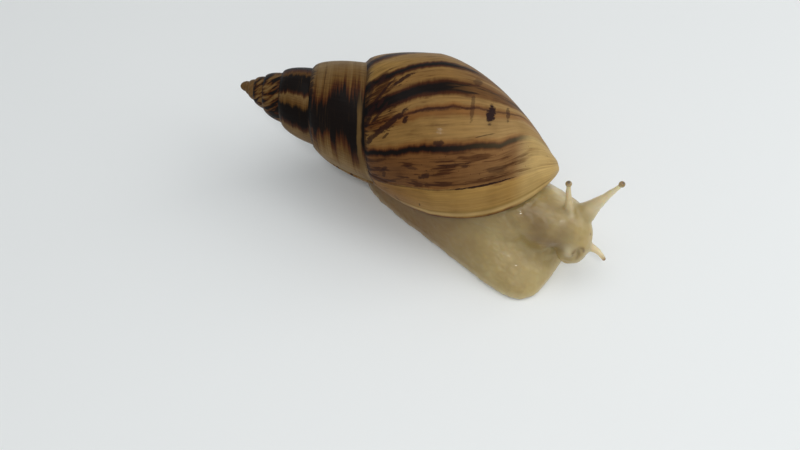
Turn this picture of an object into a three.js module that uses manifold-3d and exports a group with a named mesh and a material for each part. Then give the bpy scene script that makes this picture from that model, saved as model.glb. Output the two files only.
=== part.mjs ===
// Giant african land snail, life size, resting on a flat floor: millimetres, +Z up, +X the way it crawls,
// +Y its left side. The origin is on the sole, on the floor.
// The right-handed shell is one solid. The flesh is parted into named pieces by gaps of GAP.
import * as THREE from "three";
import { mergeVertices } from "three/addons/utils/BufferGeometryUtils.js";
import Module from "manifold-3d";

const wasm = await Module();
wasm.setup();

// ---- driving sizes -------------------------------------------------------------------------------------
const GAP = 0.3; // between neighbouring pieces

const SHELL = {
  length: 109.6, // apex to the base of the aperture
  turns: 6.5, // whorls
  columns: 36, // steps in one turn
  bandRows: 5, // steps from one suture to the next
  baseRows: 7, // steps from the widest line of the last whorl to its base
  apex: new THREE.Vector3(-69.9, -36.1, 37.4),
  tip: 0.5, // rounding beyond the apex
  axis: new THREE.Vector3(0.8761, 0.4726, -0.0956), // from the apex to the base
  lipTurn: 37.4, // degrees that the lip lies below level, on the snail's right
  // shares of the length
  sutureZ: 0.46, // where the suture meets the lip, along the axis
  sutureR: 0.188, // and its distance from the axis
  growZ: 1.771, // growth along the axis in one turn
  growR: 1.53, // growth away from the axis in one turn
  widestZ: 0.653, // the widest line at the lip
  widestR: 0.243,
  widening: 0.41, // how early the last whorl widens
  bandCurve: 0.74, // roundness of the whorls, and of the last one at the lip
  lipCurve: 0.465,
  backBase: 0.853, // where the base of the last whorl starts
  columellaR: 0.03,
  backShape: [1.1, 1.56], // profile below the widest line, at the start of the last whorl and at the lip
  lipShape: [2.53, 0.5],
  heartZ: 0.93, // where the wall of the aperture meets the axis
  lean: [0.104, 0.031], // turns that a growth line falls back from the suture to the base
  leanSpan: 0.35, // turns in which the growth lines take up that lean
};
const LAST_WHORL = -0.9999; // just after its start, in turns from the lip
const LEAN_ROUNDS = 12; // the lean depends on the place it leads to, so it is found in rounds

// The chambers: a pocket in the aperture, the collar that fills it, and the room that the flesh leaves round
// the collar. Each runs from one turn to another, drawn in by a scale.
const POCKET = { scale: 0.88, from: -0.085, to: 0.03 };
const COLLAR = { scale: 0.84, from: -0.079, to: 0.05 };
const ROOM = { scale: 0.875, from: -0.085, to: 0.058 };
const CHAMBER = { outerSteps: 14, wallSteps: 7, sections: 4, firstSection: 0.9 };

// The body in cross sections along X: [x, right edge, left edge, height, crest Y, fullness]
const BODY = [
  [-62.5, -7.5, -2.5, 1.6, -5.0, 2.0],
  [-61.3, -9.2, 1.4, 2.6, -4.4, 2.0],
  [-57, -11.0, 5.6, 4.2, -3.4, 2.0],
  [-50, -12.4, 10.0, 6.4, -2.2, 2.05],
  [-41, -14.6, 14.0, 8.6, -1.6, 2.1],
  [-33, -18.2, 16.6, 11.0, -2.0, 2.1],
  [-26, -21.0, 18.4, 13.4, -3.4, 2.1],
  [-18, -22.2, 19.8, 16.0, -5.0, 2.1],
  [-9, -22.6, 20.6, 18.6, -6.4, 2.1],
  [0, -23.0, 21.2, 21.6, -7.0, 2.1],
  [9, -23.2, 21.4, 23.0, -6.0, 2.05],
  [17, -23.4, 21.4, 21.6, -4.6, 2.0],
  [24, -23.8, 21.0, 18.4, -3.6, 2.0],
  [30, -23.6, 20, 14.4, -3.4, 2],
  [34.5, -22.9, 17.6, 11.4, -3.8, 2.1],
  [37.4, -21.6, 13.4, 9, -4.6, 2.2],
  [39.2, -20, 6, 6.8, -6.4, 2.2],
  [40.4, -18.4, -3, 4.6, -9.4, 2.2],
  [41.2, -16.8, -8.6, 2.6, -12.4, 2.1],
  [41.6, -15.2, -11.6, 1.2, -13.4, 2],
];
const BODY_STEPS = 22; // from the right edge over the crest to the left edge
const SOLE_POINTS = [0.33, 0.67]; // and back under the sole, as shares of its width

// Neck and head in rings along a curve: [x, y, z, half width, half height]
const NECK = [
  [0, -4, 13, 14, 9],
  [8, -3.6, 15, 14, 10],
  [16, -2.8, 16.6, 13.4, 10],
  [23, -1.4, 17.6, 12.4, 9.6],
  [28.5, -0.4, 18, 11.4, 9.4],
  [33, 0.2, 18.2, 10.6, 9.3],
  [36.8, 0.6, 18, 9.6, 9.5],
  [40, 0.4, 16.8, 7.6, 8.4],
  [42, -0.8, 14.8, 6.2, 6.8],
  [43, -2.2, 12.8, 5.6, 5],
  [43.4, -3.6, 11.2, 5, 3.6],
  [43.6, -4.4, 10, 3, 1.8],
];
const NECK_RINGS = 20;
const NECK_SIDES = 20;

// Feelers: points of the centre line, with the radius at each
const FEELERS = {
  upper_tentacle_right: [
    [37.6, 1.8, 25, 2.4],
    [37.3, 1.2, 28.6, 1.6],
    [36.9, 0.3, 33, 1.15],
    [36.5, -0.4, 37.5, 1],
    [36.2, -0.8, 41.3, 0.92],
  ],
  upper_tentacle_left: [
    [39.6, 4.8, 21.4, 4.4],
    [41.2, 6, 24.8, 3.4],
    [42.9, 7.3, 28.6, 2.2],
    [44.8, 8, 33.2, 1.45],
    [46.8, 8.25, 38.2, 1.05],
    [48.6, 8.5, 42.8, 0.9],
  ],
  lower_tentacle_right: [
    [42.9, -3.2, 16.2, 1.9],
    [43.4, -4.9, 16.8, 1.7],
    [43.8, -6.6, 17, 1.25],
  ],
  lower_tentacle_left: [
    [45.6, 1.6, 15.2, 2],
    [48.6, 2.7, 14.5, 1.3],
    [51, 3.1, 13.3, 0.95],
    [53, 3.2, 11.7, 0.8],
  ],
};
const FEELER_SIDES = 10;
const FEELER_RINGS = 3; // between one point and the next
const ROOT_LENGTH = 1.2; // of a feeler, kept with the head
const BED = { from: -3.5, to: 0.7, wide: 0.5, narrow: 0.8, rings: 3, sides: 9 }; // ties a root to the head

const EYE_RADIUS = 1.1; // the swollen tip of an upper tentacle
const EYE_FACES = [12, 8]; // round it and from pole to pole
const EYE_LEAD = 0.2; // its centre beyond the end of the centre line
const EYE_JOINT = 0.9; // where the tentacle ends, short of the end of the centre line

// Where the flesh is parted
const HEAD_AT = new THREE.Vector3(33.6, 0.2, 18.2); // the head leaves the neck
const HEAD_WAY = new THREE.Vector3(0.99, -0.05, -0.05);
const UNDER_HEAD_AT = new THREE.Vector3(37.4, 0, 9.6); // and the foot under it
const UNDER_HEAD_WAY = new THREE.Vector3(0.36, 0, 0.93);
const NECK_LOW = 11; // the neck leaves the foot, by height
const NECK_REAR = 4; // and by X
const FOOT_CUTS = [-34, -4, 22]; // tail, rear, middle and front, by X

const BLOCK = 300; // side of the blocks that cut
const SHELL_ROOM = GAP + 0.05; // between flesh and shell
const HEAD_ROOM = GAP + 0.1; // between a feeler and the head

// ---- solids --------------------------------------------------------------------------------------------
function solidOfTriangles(points, triangles) {
  const geometry = new THREE.BufferGeometry();
  geometry.setAttribute("position", new THREE.Float32BufferAttribute(points.flat(), 3));
  geometry.setIndex(triangles.flat());
  return solidOf(geometry);
}

function solidOf(geometry) {
  const g = geometry.clone();
  g.deleteAttribute("normal");
  g.deleteAttribute("uv");
  const merged = mergeVertices(g, 1e-4);
  const index = Array.from(merged.index.array);
  const p = merged.attributes.position.array;
  const kept = [];
  for (let i = 0; i < index.length; i += 3) {
    const [a, b, c] = [index[i], index[i + 1], index[i + 2]];
    if (a !== b && b !== c && c !== a) kept.push(a, b, c);
  }
  const made = manifoldOf(p, kept);
  if (made.volume() > 0) return made;
  for (let i = 0; i < kept.length; i += 3) [kept[i + 1], kept[i + 2]] = [kept[i + 2], kept[i + 1]];
  return manifoldOf(p, kept);
}

function manifoldOf(positions, index) {
  return new wasm.Manifold(
    new wasm.Mesh({ numProp: 3, vertProperties: new Float32Array(positions), triVerts: new Uint32Array(index) })
  );
}

// Closed rings of the same count, joined in order, with a fan over each end.
function loft(rings) {
  const n = rings[0].length;
  const points = rings.flat().map((p) => [p.x, p.y, p.z]);
  const triangles = [];
  for (let k = 0; k + 1 < rings.length; k++)
    for (let i = 0; i < n; i++) {
      const [a, b] = [k * n + i, k * n + ((i + 1) % n)];
      triangles.push([a, b, b + n], [a, b + n, a + n]);
    }
  for (const [k, flip] of [[0, true], [rings.length - 1, false]]) {
    const centre = rings[k].reduce((s, p) => s.add(p), new THREE.Vector3()).divideScalar(n);
    const c = points.push([centre.x, centre.y, centre.z]) - 1;
    for (let i = 0; i < n; i++) {
      const [a, b] = [k * n + i, k * n + ((i + 1) % n)];
      triangles.push(flip ? [b, a, c] : [a, b, c]);
    }
  }
  return solidOfTriangles(points, triangles);
}

// A large block on the side of a plane that its normal points to, standing off it by half a gap.
function side(point, normal, off = GAP / 2) {
  const way = normal.clone().normalize();
  const box = new THREE.BoxGeometry(BLOCK, BLOCK, BLOCK);
  box.applyQuaternion(new THREE.Quaternion().setFromUnitVectors(new THREE.Vector3(0, 0, 1), way));
  const at = point.clone().addScaledVector(way, BLOCK / 2 + off);
  box.translate(at.x, at.y, at.z);
  return solidOf(box);
}

function largest(solid) {
  return solid.decompose().sort((a, b) => b.volume() - a.volume())[0];
}

// ---- shell ---------------------------------------------------------------------------------------------
const axis = SHELL.axis.clone().normalize();
const level = new THREE.Vector3().crossVectors(axis, new THREE.Vector3(0, 0, 1)).normalize();
const down = new THREE.Vector3().crossVectors(axis, level);
const lipAngle = THREE.MathUtils.degToRad(SHELL.lipTurn);
const lipWay = level.clone().multiplyScalar(Math.cos(lipAngle)).addScaledVector(down, Math.sin(lipAngle));
const lipSide = new THREE.Vector3().crossVectors(axis, lipWay);

const mix = (a, b, t) => a + (b - a) * t;
const clamp01 = (t) => Math.min(1, Math.max(0, t));
const swell = (s, c) => (1 - c) * s + c * Math.sqrt(Math.max(0, 1 - (1 - s) ** 2));

// Profile of the shell in the half plane `turn` turns from the lip: u runs 0 to 1 from the suture to the next
// suture or to the widest line, then 1 to 2 down to the base. Gives z along the axis, r from it and the
// share v of the way to the base.
function profile(turn, u) {
  const S = SHELL;
  const [zs, rs] = [S.sutureZ * S.growZ ** turn, S.sutureR * S.growR ** turn];
  const k = clamp01(turn + 1);
  const last = turn > -1;
  const zp = last ? mix(S.sutureZ, S.widestZ, k) : S.sutureZ * S.growZ ** (turn + 1);
  const rp = last ? mix(S.sutureR, S.widestR, k ** S.widening) : S.sutureR * S.growR ** (turn + 1);
  const curve = last ? mix(S.bandCurve, S.lipCurve, k) : S.bandCurve;
  const zb = mix(S.backBase, 1, k);
  const [m, n] = [0, 1].map((i) => mix(S.backShape[i], S.lipShape[i], k));
  const [s, t] = [clamp01(u), clamp01(u - 1)];
  const z = u <= 1 ? zs + (zp - zs) * s : zp + (zb - zp) * t;
  const r = u <= 1 ? rs + (rp - rs) * swell(s, curve)
    : S.columellaR + (rp - S.columellaR) * Math.max(0, 1 - t ** m) ** n;
  return { z: z * S.length, r: r * S.length, v: clamp01((z - zs) / (zb - zs)) };
}

// Angle in turns of the growth line that starts at the suture at `turn`, at u. Growth lines lean more and
// more over the last turn.
function leaned(turn, u) {
  const x = clamp01((turn + 1) / SHELL.leanSpan);
  const share = 1 - (1 - x) ** 2;
  let at = turn;
  for (let i = 0; i < LEAN_ROUNDS; i++) {
    const { v } = profile(Math.max(at, LAST_WHORL), u);
    at = turn - share * (SHELL.lean[0] * v + SHELL.lean[1] * v ** 4);
  }
  return at;
}

function place(turn, z, r) {
  const a = 2 * Math.PI * turn;
  return SHELL.apex.clone().addScaledVector(axis, z)
    .addScaledVector(lipWay, r * Math.cos(a)).addScaledVector(lipSide, r * Math.sin(a));
}

function onShell(turn, u) {
  const { z, r } = profile(turn, u);
  return place(turn, z, r);
}

// The whole shell as a filled solid, closed at the aperture, and standing off by `grow`.
function filledShell(grow = 0) {
  const { columns, bandRows: M, baseRows: K } = SHELL;
  const N = SHELL.turns * columns;
  const J = M + K;
  const points = [];
  const at = new Map();
  const uOf = (j) => (j <= M ? j / M : 1 + Math.sin(((j - M) / K) * Math.PI * 0.5));
  const add = (p) => points.push([p.x, p.y, p.z]) - 1;
  const key = (i, j) => `${i} ${j}`;
  for (let i = 0; i <= N; i++) {
    const turn = (i - N) / columns;
    const rows = i >= N - columns ? J : M;
    for (let j = 0; j <= rows; j++) {
      if (j === M && i <= N - columns) continue; // the next whorl's suture
      const u = uOf(j);
      const angle = turn > -1 ? leaned(turn, u) : turn;
      const { z, r } = profile(angle, u);
      at.set(key(i, j), add(place(angle, z + (j === J ? grow : 0), r + grow)));
    }
  }
  const V = (i, j) => at.get(j === M && i <= N - columns ? key(i + columns, 0) : key(i, j));
  const triangles = [];
  for (let i = 0; i < N; i++) {
    const rows = i >= N - columns ? J : M;
    for (let j = 0; j < rows; j++)
      triangles.push([V(i, j), V(i + 1, j), V(i + 1, j + 1)], [V(i, j), V(i + 1, j + 1), V(i, j + 1)]);
  }
  const tip = add(place(0, -SHELL.tip - grow, 0));
  for (let i = 0; i < columns; i++) triangles.push([V(i + 1, 0), V(i, 0), tip]);
  for (let j = 0; j < M; j++) triangles.push([V(0, j), V(0, j + 1), tip]);
  const heart = add(place(0, SHELL.length * SHELL.heartZ + grow, 0));
  for (let i = N - columns; i < N; i++) triangles.push([V(i, J), V(i + 1, J), heart]);
  // the aperture, from the lip to the wall of the whorl before it
  const lip = [];
  for (let j = 0; j <= J; j++) lip.push(V(N, j));
  const wall = [];
  for (let j = M; j <= J; j++) wall.push(V(N - columns, j));
  lip.push(heart);
  wall.push(heart);
  let [a, b] = [0, 0];
  while (a < lip.length - 1 || b < wall.length - 1) {
    const behind = (b + 1) / wall.length < (a + 1) / lip.length;
    const onWall = a === lip.length - 1 || (b < wall.length - 1 && behind);
    if (onWall) {
      if (wall[b + 1] !== lip[a]) triangles.push([wall[b], wall[b + 1], lip[a]]);
      b++;
    } else {
      if (lip[a + 1] !== wall[b]) triangles.push([lip[a + 1], lip[a], wall[b]]);
      a++;
    }
  }
  return solidOfTriangles(points, triangles.filter((t) => new Set(t).size === 3));
}

// The cross section of the last whorl at `turn`, drawn in about its middle by `scale`.
function chamberRing(turn, scale) {
  const { outerSteps, wallSteps } = CHAMBER;
  const past = Math.max(turn, 0); // beyond the lip the section keeps its shape
  const ring = [];
  for (let i = 0; i <= outerSteps; i++) {
    const u = 2 * (i / outerSteps);
    ring.push(onShell(leaned(turn - past, u) + past, u));
  }
  for (let i = wallSteps; i > 0; i--) ring.push(onShell(turn - 1, 1 + i / (wallSteps + 1)));
  const centre = ring.reduce((s, p) => s.add(p), new THREE.Vector3()).divideScalar(ring.length);
  return ring.map((p) => p.clone().sub(centre).multiplyScalar(scale).add(centre));
}

function chamber({ scale, from, to }) {
  const { sections, firstSection } = CHAMBER;
  const rings = [];
  for (let k = 0; k <= sections; k++)
    rings.push(chamberRing(mix(from, to, k / sections), scale * (k === 0 ? firstSection : 1)));
  return loft(rings);
}

const shell = largest(filledShell().subtract(chamber(POCKET)));

// ---- flesh ---------------------------------------------------------------------------------------------
function bodyRing([x, right, left, height, crest, full]) {
  const ring = [];
  for (let i = 0; i <= BODY_STEPS; i++) {
    const a = (Math.PI * i) / BODY_STEPS;
    const [c, s] = [Math.cos(a), Math.sin(a)];
    const out = Math.sign(c) * Math.abs(c) ** (2 / full);
    const reach = c > 0 ? crest - right : left - crest;
    ring.push(new THREE.Vector3(x, crest - out * reach, height * Math.abs(s) ** (2 / full)));
  }
  for (const share of SOLE_POINTS) ring.push(new THREE.Vector3(x, mix(left, right, share), 0));
  return ring;
}

// Rings square to a curve through the given centres, turned as little as possible from one to the next.
function ringsAlong(rows, count, sides) {
  const curve = new THREE.CatmullRomCurve3(rows.map(([x, y, z]) => new THREE.Vector3(x, y, z)));
  const size = new THREE.CatmullRomCurve3(rows.map((r) => new THREE.Vector3(r[3], r[4] ?? r[3], 0)));
  const rings = [];
  const across = new THREE.Vector3(0, 1, 0);
  for (let k = 0; k <= count; k++) {
    const t = k / count;
    const [c, way, s] = [curve.getPoint(t), curve.getTangent(t), size.getPoint(t)];
    across.addScaledVector(way, -way.dot(across)).normalize();
    const up = new THREE.Vector3().crossVectors(way, across);
    const ring = [];
    for (let i = 0; i < sides; i++) {
      const a = (2 * Math.PI * i) / sides;
      ring.push(c.clone().addScaledVector(across, s.x * Math.cos(a)).addScaledVector(up, s.y * Math.sin(a)));
    }
    rings.push(ring);
  }
  return rings;
}

const body = loft(BODY.map(bodyRing));
const neck = loft(ringsAlong(NECK, NECK_RINGS, NECK_SIDES));
const flesh = largest(body.add(neck).subtract(filledShell(SHELL_ROOM)).subtract(chamber(ROOM)));

const X = new THREE.Vector3(1, 0, 0);
const Z = new THREE.Vector3(0, 0, 1);
const at = (x, y = 0, z = 0) => new THREE.Vector3(x, y, z);
const inHead = (off) => side(HEAD_AT, HEAD_WAY, off).intersect(side(UNDER_HEAD_AT, UNDER_HEAD_WAY, off));
const inNeck = (off) => side(at(0, 0, NECK_LOW), Z, off).intersect(side(at(NECK_REAR), X, off));
const head = largest(flesh.intersect(inHead(GAP / 2)));
const rest = flesh.subtract(inHead(-GAP / 2));
const foot = rest.subtract(inNeck(-GAP / 2));

// The part of the foot between two cuts; null where it runs on to its end.
function footPiece(from, to) {
  let s = foot;
  if (from !== null) s = s.intersect(side(at(from), X));
  if (to !== null) s = s.intersect(side(at(to), X.clone().negate()));
  return largest(s);
}

// ---- the model -----------------------------------------------------------------------------------------
const snail = new THREE.Group();
snail.name = "giant_african_land_snail";

const look = {
  shell: new THREE.MeshStandardMaterial({ color: 0x9a7436, roughness: 0.35, metalness: 0 }),
  flesh: new THREE.MeshStandardMaterial({ color: 0xcdbb93, roughness: 0.35, metalness: 0 }),
  collar: new THREE.MeshStandardMaterial({ color: 0xc2ad80, roughness: 0.3, metalness: 0 }),
  eye: new THREE.MeshStandardMaterial({ color: 0x8a6a3c, roughness: 0.25, metalness: 0 }),
};

function piece(name, solid, material) {
  const { vertProperties, triVerts, numProp } = solid.getMesh();
  const geometry = new THREE.BufferGeometry();
  const positions = new Float32Array((vertProperties.length / numProp) * 3);
  for (let i = 0; i < positions.length / 3; i++)
    for (let k = 0; k < 3; k++) positions[3 * i + k] = vertProperties[numProp * i + k];
  geometry.setAttribute("position", new THREE.BufferAttribute(positions, 3));
  geometry.setIndex(new THREE.BufferAttribute(new Uint32Array(triVerts), 1));
  geometry.computeVertexNormals();
  const mesh = new THREE.Mesh(geometry, material);
  mesh.name = name;
  snail.add(mesh);
}

const [tailCut, rearCut, frontCut] = FOOT_CUTS;
piece("shell", shell, look.shell);
piece("mantle_collar", largest(chamber(COLLAR)), look.collar);
piece("tail", footPiece(null, tailCut), look.flesh);
piece("foot_rear", footPiece(tailCut, rearCut), look.flesh);
piece("foot_middle", footPiece(rearCut, frontCut), look.flesh);
piece("foot_front", footPiece(frontCut, null), look.flesh);
piece("neck", largest(rest.intersect(inNeck(GAP / 2))), look.flesh);

let headSolid = head;
const roomy = NECK.map(([x, y, z, w, h]) => [x, y, z, w + HEAD_ROOM, h + HEAD_ROOM]);
const aroundHead = loft(ringsAlong(roomy, NECK_RINGS, NECK_SIDES));
for (const [name, rows] of Object.entries(FEELERS)) {
  const tube = loft(ringsAlong(rows, rows.length * FEELER_RINGS, FEELER_SIDES));
  const [x, y, z, r] = rows[0];
  const start = at(x, y, z);
  const way = at(...rows[1].slice(0, 3)).sub(start).normalize();
  const along = (d) => start.clone().addScaledVector(way, d);
  // the root, which belongs to the head, and the feeler itself
  const root = tube.intersect(side(along(ROOT_LENGTH), way.clone().negate()));
  const bedRows = [[...along(BED.from).toArray(), r + BED.wide], [...along(BED.to).toArray(), r * BED.narrow]];
  headSolid = headSolid.add(root).add(loft(ringsAlong(bedRows, BED.rings, BED.sides)));
  let feeler = tube.intersect(side(along(ROOT_LENGTH), way)).subtract(aroundHead);
  if (name.startsWith("upper")) {
    const [before, tip] = rows.slice(-2).map((row) => at(...row.slice(0, 3)));
    const out = tip.clone().sub(before).normalize();
    const joint = tip.clone().addScaledVector(out, -EYE_JOINT);
    const centre = tip.clone().addScaledVector(out, EYE_LEAD);
    const ball = new THREE.SphereGeometry(EYE_RADIUS, ...EYE_FACES).translate(centre.x, centre.y, centre.z);
    piece(name.replace("upper_tentacle", "eye"), largest(solidOf(ball).intersect(side(joint, out))), look.eye);
    feeler = feeler.intersect(side(joint, out.clone().negate()));
  }
  piece(name, largest(feeler), look.flesh);
}
piece("head", largest(headSolid), look.flesh);

export default snail;
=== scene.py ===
"""Giant african land snail: its shell, skin, eyes and a plain studio stage.

Lengths in the tables are millimetres. Every finished mesh is in metres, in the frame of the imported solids:
the origin is under the middle of the sole, +X is the way it crawls, +Y its left side and +Z is up.
"""
import math

import bmesh
import bpy
import numpy as np
from mathutils import Matrix, Vector


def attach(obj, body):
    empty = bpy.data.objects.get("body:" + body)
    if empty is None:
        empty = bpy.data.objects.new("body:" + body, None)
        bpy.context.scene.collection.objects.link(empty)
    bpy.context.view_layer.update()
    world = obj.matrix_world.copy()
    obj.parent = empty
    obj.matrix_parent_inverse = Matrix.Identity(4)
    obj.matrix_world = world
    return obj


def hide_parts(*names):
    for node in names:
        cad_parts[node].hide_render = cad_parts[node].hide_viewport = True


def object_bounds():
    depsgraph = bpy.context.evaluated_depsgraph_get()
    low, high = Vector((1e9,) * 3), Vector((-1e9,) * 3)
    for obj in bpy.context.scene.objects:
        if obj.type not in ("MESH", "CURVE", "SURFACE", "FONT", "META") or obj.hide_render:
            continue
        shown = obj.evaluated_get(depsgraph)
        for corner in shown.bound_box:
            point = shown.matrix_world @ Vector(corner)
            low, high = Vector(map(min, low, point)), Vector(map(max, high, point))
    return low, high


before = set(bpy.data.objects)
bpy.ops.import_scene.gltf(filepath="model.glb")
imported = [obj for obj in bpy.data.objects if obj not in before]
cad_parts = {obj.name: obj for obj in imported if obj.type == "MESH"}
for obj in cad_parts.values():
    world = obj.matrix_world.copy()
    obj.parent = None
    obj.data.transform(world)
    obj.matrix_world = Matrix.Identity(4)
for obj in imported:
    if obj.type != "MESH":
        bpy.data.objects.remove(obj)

bl_info = {
    "name": "Giant African Land Snail",
    "version": (1, 0, 0),
    "blender": (4, 5, 0),
    "location": "View3D > Sidebar > Snail",
    "description": "Builds the shell, skin and eyes of a life-size snail round its solids",
    "category": "Object",
}

CAD_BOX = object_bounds()
MM = 0.001
TAU = 2 * math.pi

# ---- the shell's growth, in shares of its length unless a comment says otherwise ------------------------
SHELL = {
    "Length": 109.6,  # mm, from the apex to the base of the aperture
    "Suture Z": 0.46,  # where the suture meets the lip
    "Suture R": 0.188,
    "Grow Z": 1.771,  # growth in one turn, along the axis and away from it
    "Grow R": 1.53,
    "Widest Z": 0.653,  # widest line at the lip
    "Widest R": 0.243,
    "Widening": 0.41,  # exponent of its growth over the last turn
    "Band Curve": 0.74,  # how round the profile is above the widest line, 0 to 1
    "Lip Curve": 0.465,
    "Back Base": 0.853,  # where the base of the last whorl starts
    "Columella R": 0.03,
    "Back Bend": 1.1,  # exponents of the profile below the widest line
    "Back Fall": 1.56,
    "Lip Bend": 2.53,
    "Lip Fall": 0.5,
    "Lean": 0.104,  # turns that a growth line falls back
    "Base Lean": 0.031,
    "Heart Z": 0.93,  # where the base closes on the axis
    "Tip Z": -0.006,  # top of the dome over the first turn
    "Chamber Z": 0.72,  # middle of the aperture
    "Chamber R": 0.12,
    "Flare": 0.0055,  # how far the lip turns out
    "Corner": 0.012,  # how far its corner at the base stands out
}
TURNS = 6.5
LEAN_IN = 0.35  # turns over which the lean sets in, from one turn before the lip
LEAN_ROUNDS = 6
# where the lip turns out and where its corner stands out: steps in turns from the lip and in `across`
FLARE_FROM, FLARE_RISE, FLARE_FALL = (-0.03, 0.002), (0.1, 0.8), (1.7, 2.0)
CORNER_FROM, CORNER_TO = (-0.21, -0.10), (-0.06, 0.0)
CORNER_RISE, CORNER_FALL = (1.84, 1.98), (2.05, 2.2)
CORNER_DROP = 0.4  # how far the corner reaches along the axis for each bit that it stands out
APEX = Vector((-69.9, -36.1, 37.4))
AXIS = Vector((0.8761, 0.4726, -0.0956)).normalized()
LIP_TURN = math.radians(37.4)  # how far the lip lies below level

# ---- the body, as in the solids ------------------------------------------------------------------------
# cross sections along X: x, right edge, left edge, height, crest Y, fullness
BODY = [
    (-62.5, -7.5, -2.5, 1.6, -5.0, 2.0),
    (-61.3, -9.2, 1.4, 2.6, -4.4, 2.0),
    (-57, -11.0, 5.6, 4.2, -3.4, 2.0),
    (-50, -12.4, 10.0, 6.4, -2.2, 2.05),
    (-41, -14.6, 14.0, 8.6, -1.6, 2.1),
    (-33, -18.2, 16.6, 11.0, -2.0, 2.1),
    (-26, -21.0, 18.4, 13.4, -3.4, 2.1),
    (-18, -22.2, 19.8, 16.0, -5.0, 2.1),
    (-9, -22.6, 20.6, 18.6, -6.4, 2.1),
    (0, -23.0, 21.2, 21.6, -7.0, 2.1),
    (9, -23.2, 21.4, 23.0, -6.0, 2.05),
    (17, -23.4, 21.4, 21.6, -4.6, 2.0),
    (24, -23.8, 21.0, 18.4, -3.6, 2.0),
    (30, -23.6, 20, 14.4, -3.4, 2),
    (34.5, -22.9, 17.6, 11.4, -3.8, 2.1),
    (37.4, -21.6, 13.4, 9, -4.6, 2.2),
    (39.2, -20, 6, 6.8, -6.4, 2.2),
    (40.4, -18.4, -3, 4.6, -9.4, 2.2),
    (41.2, -16.8, -8.6, 2.6, -12.4, 2.1),
    (41.6, -15.2, -11.6, 1.2, -13.4, 2),
]
# rings of the neck and head: x, y, z, half width, half height
NECK = [
    (0, -4, 13, 14, 9),
    (8, -3.6, 15, 14, 10),
    (16, -2.8, 16.6, 13.4, 10),
    (23, -1.4, 17.6, 12.4, 9.6),
    (28.5, -0.4, 18.0, 11.4, 9.4),
    (33, 0.2, 18.2, 10.6, 9.3),
    (36.8, 0.6, 18, 9.6, 9.5),
    (40, 0.4, 16.8, 7.6, 8.4),
    (42, -0.8, 14.8, 6.2, 6.8),
    (43, -2.2, 12.8, 5.6, 5),
    (43.4, -3.6, 11.2, 5, 3.6),
    (43.6, -4.4, 10, 3, 1.8),
]
# centre lines of the feelers: x, y, z, radius
UPPER_RIGHT = [(37.6, 1.8, 25, 2.4), (37.3, 1.2, 28.6, 1.6), (36.9, 0.3, 33, 1.15), (36.5, -0.4, 37.5, 1),
               (36.2, -0.8, 41.3, 0.92)]
UPPER_LEFT = [(39.6, 4.8, 21.4, 4.4), (41.2, 6, 24.8, 3.4), (42.9, 7.3, 28.6, 2.2), (44.8, 8, 33.2, 1.45),
              (46.8, 8.25, 38.2, 1.05), (48.6, 8.5, 42.8, 0.9)]
LOWER_RIGHT = [(42.9, -3.2, 16.2, 1.9), (43.4, -4.9, 16.8, 1.7), (43.8, -6.6, 17, 1.25)]
LOWER_LEFT = [(45.6, 1.6, 15.2, 2), (48.6, 2.7, 14.5, 1.3), (51, 3.1, 13.3, 0.95), (53, 3.2, 11.7, 0.8)]
FLESH_NODES = (
    "tail", "foot_rear", "foot_middle", "foot_front", "neck", "head", "mantle_collar",
    "upper_tentacle_right", "upper_tentacle_left", "lower_tentacle_right", "lower_tentacle_left",
)


# ---- sums that work on numbers, arrays and node sockets alike --------------------------------------------
class Field:
    """A number that varies over a surface: a socket of a node tree that takes part in sums."""

    def __init__(self, socket):
        self.socket = socket
        self.tree = socket.id_data

    def __add__(self, other):
        return maths(self.tree, "ADD", self, other)

    def __radd__(self, other):
        return maths(self.tree, "ADD", other, self)

    def __sub__(self, other):
        return maths(self.tree, "SUBTRACT", self, other)

    def __rsub__(self, other):
        return maths(self.tree, "SUBTRACT", other, self)

    def __mul__(self, other):
        return maths(self.tree, "MULTIPLY", self, other)

    def __rmul__(self, other):
        return maths(self.tree, "MULTIPLY", other, self)

    def __truediv__(self, other):
        return maths(self.tree, "DIVIDE", self, other)

    def __rtruediv__(self, other):
        return maths(self.tree, "DIVIDE", other, self)

    def __pow__(self, other):
        return maths(self.tree, "POWER", self, other)


def plug(value, socket):
    """Links a Field or a socket into an input, or sets the input to a plain value."""
    if isinstance(value, Field):
        value = value.socket
    if isinstance(value, bpy.types.NodeSocket):
        socket.id_data.links.new(value, socket)
    else:
        socket.default_value = value


def maths(tree, operation, *values):
    """A math node over plain numbers and Fields."""
    node = tree.nodes.new("ShaderNodeMath")
    node.operation = operation
    for value, socket in zip(values, node.inputs):
        plug(value, socket)
    return Field(node.outputs[0])


def clamp(x):
    if isinstance(x, Field):
        return maths(x.tree, "MINIMUM", maths(x.tree, "MAXIMUM", x, 0.0), 1.0)
    return np.clip(x, 0.0, 1.0)


def step(x, low, high):
    """0 below `low`, 1 above `high` and smooth between them."""
    t = clamp((x - low) / (high - low))
    return t * t * (3.0 - 2.0 * t)


def beyond(x, limit):
    """1 where x is over the limit, else 0."""
    if isinstance(x, Field):
        return maths(x.tree, "GREATER_THAN", x, limit)
    return np.asarray(x > limit, float)


def root(x):
    return maths(x.tree, "SQRT", x) if isinstance(x, Field) else np.sqrt(x)


def sine(x):
    return maths(x.tree, "SINE", x) if isinstance(x, Field) else np.sin(x)


def cosine(x):
    return maths(x.tree, "COSINE", x) if isinstance(x, Field) else np.cos(x)


def mix(a, b, share):
    return a + (b - a) * share


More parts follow.
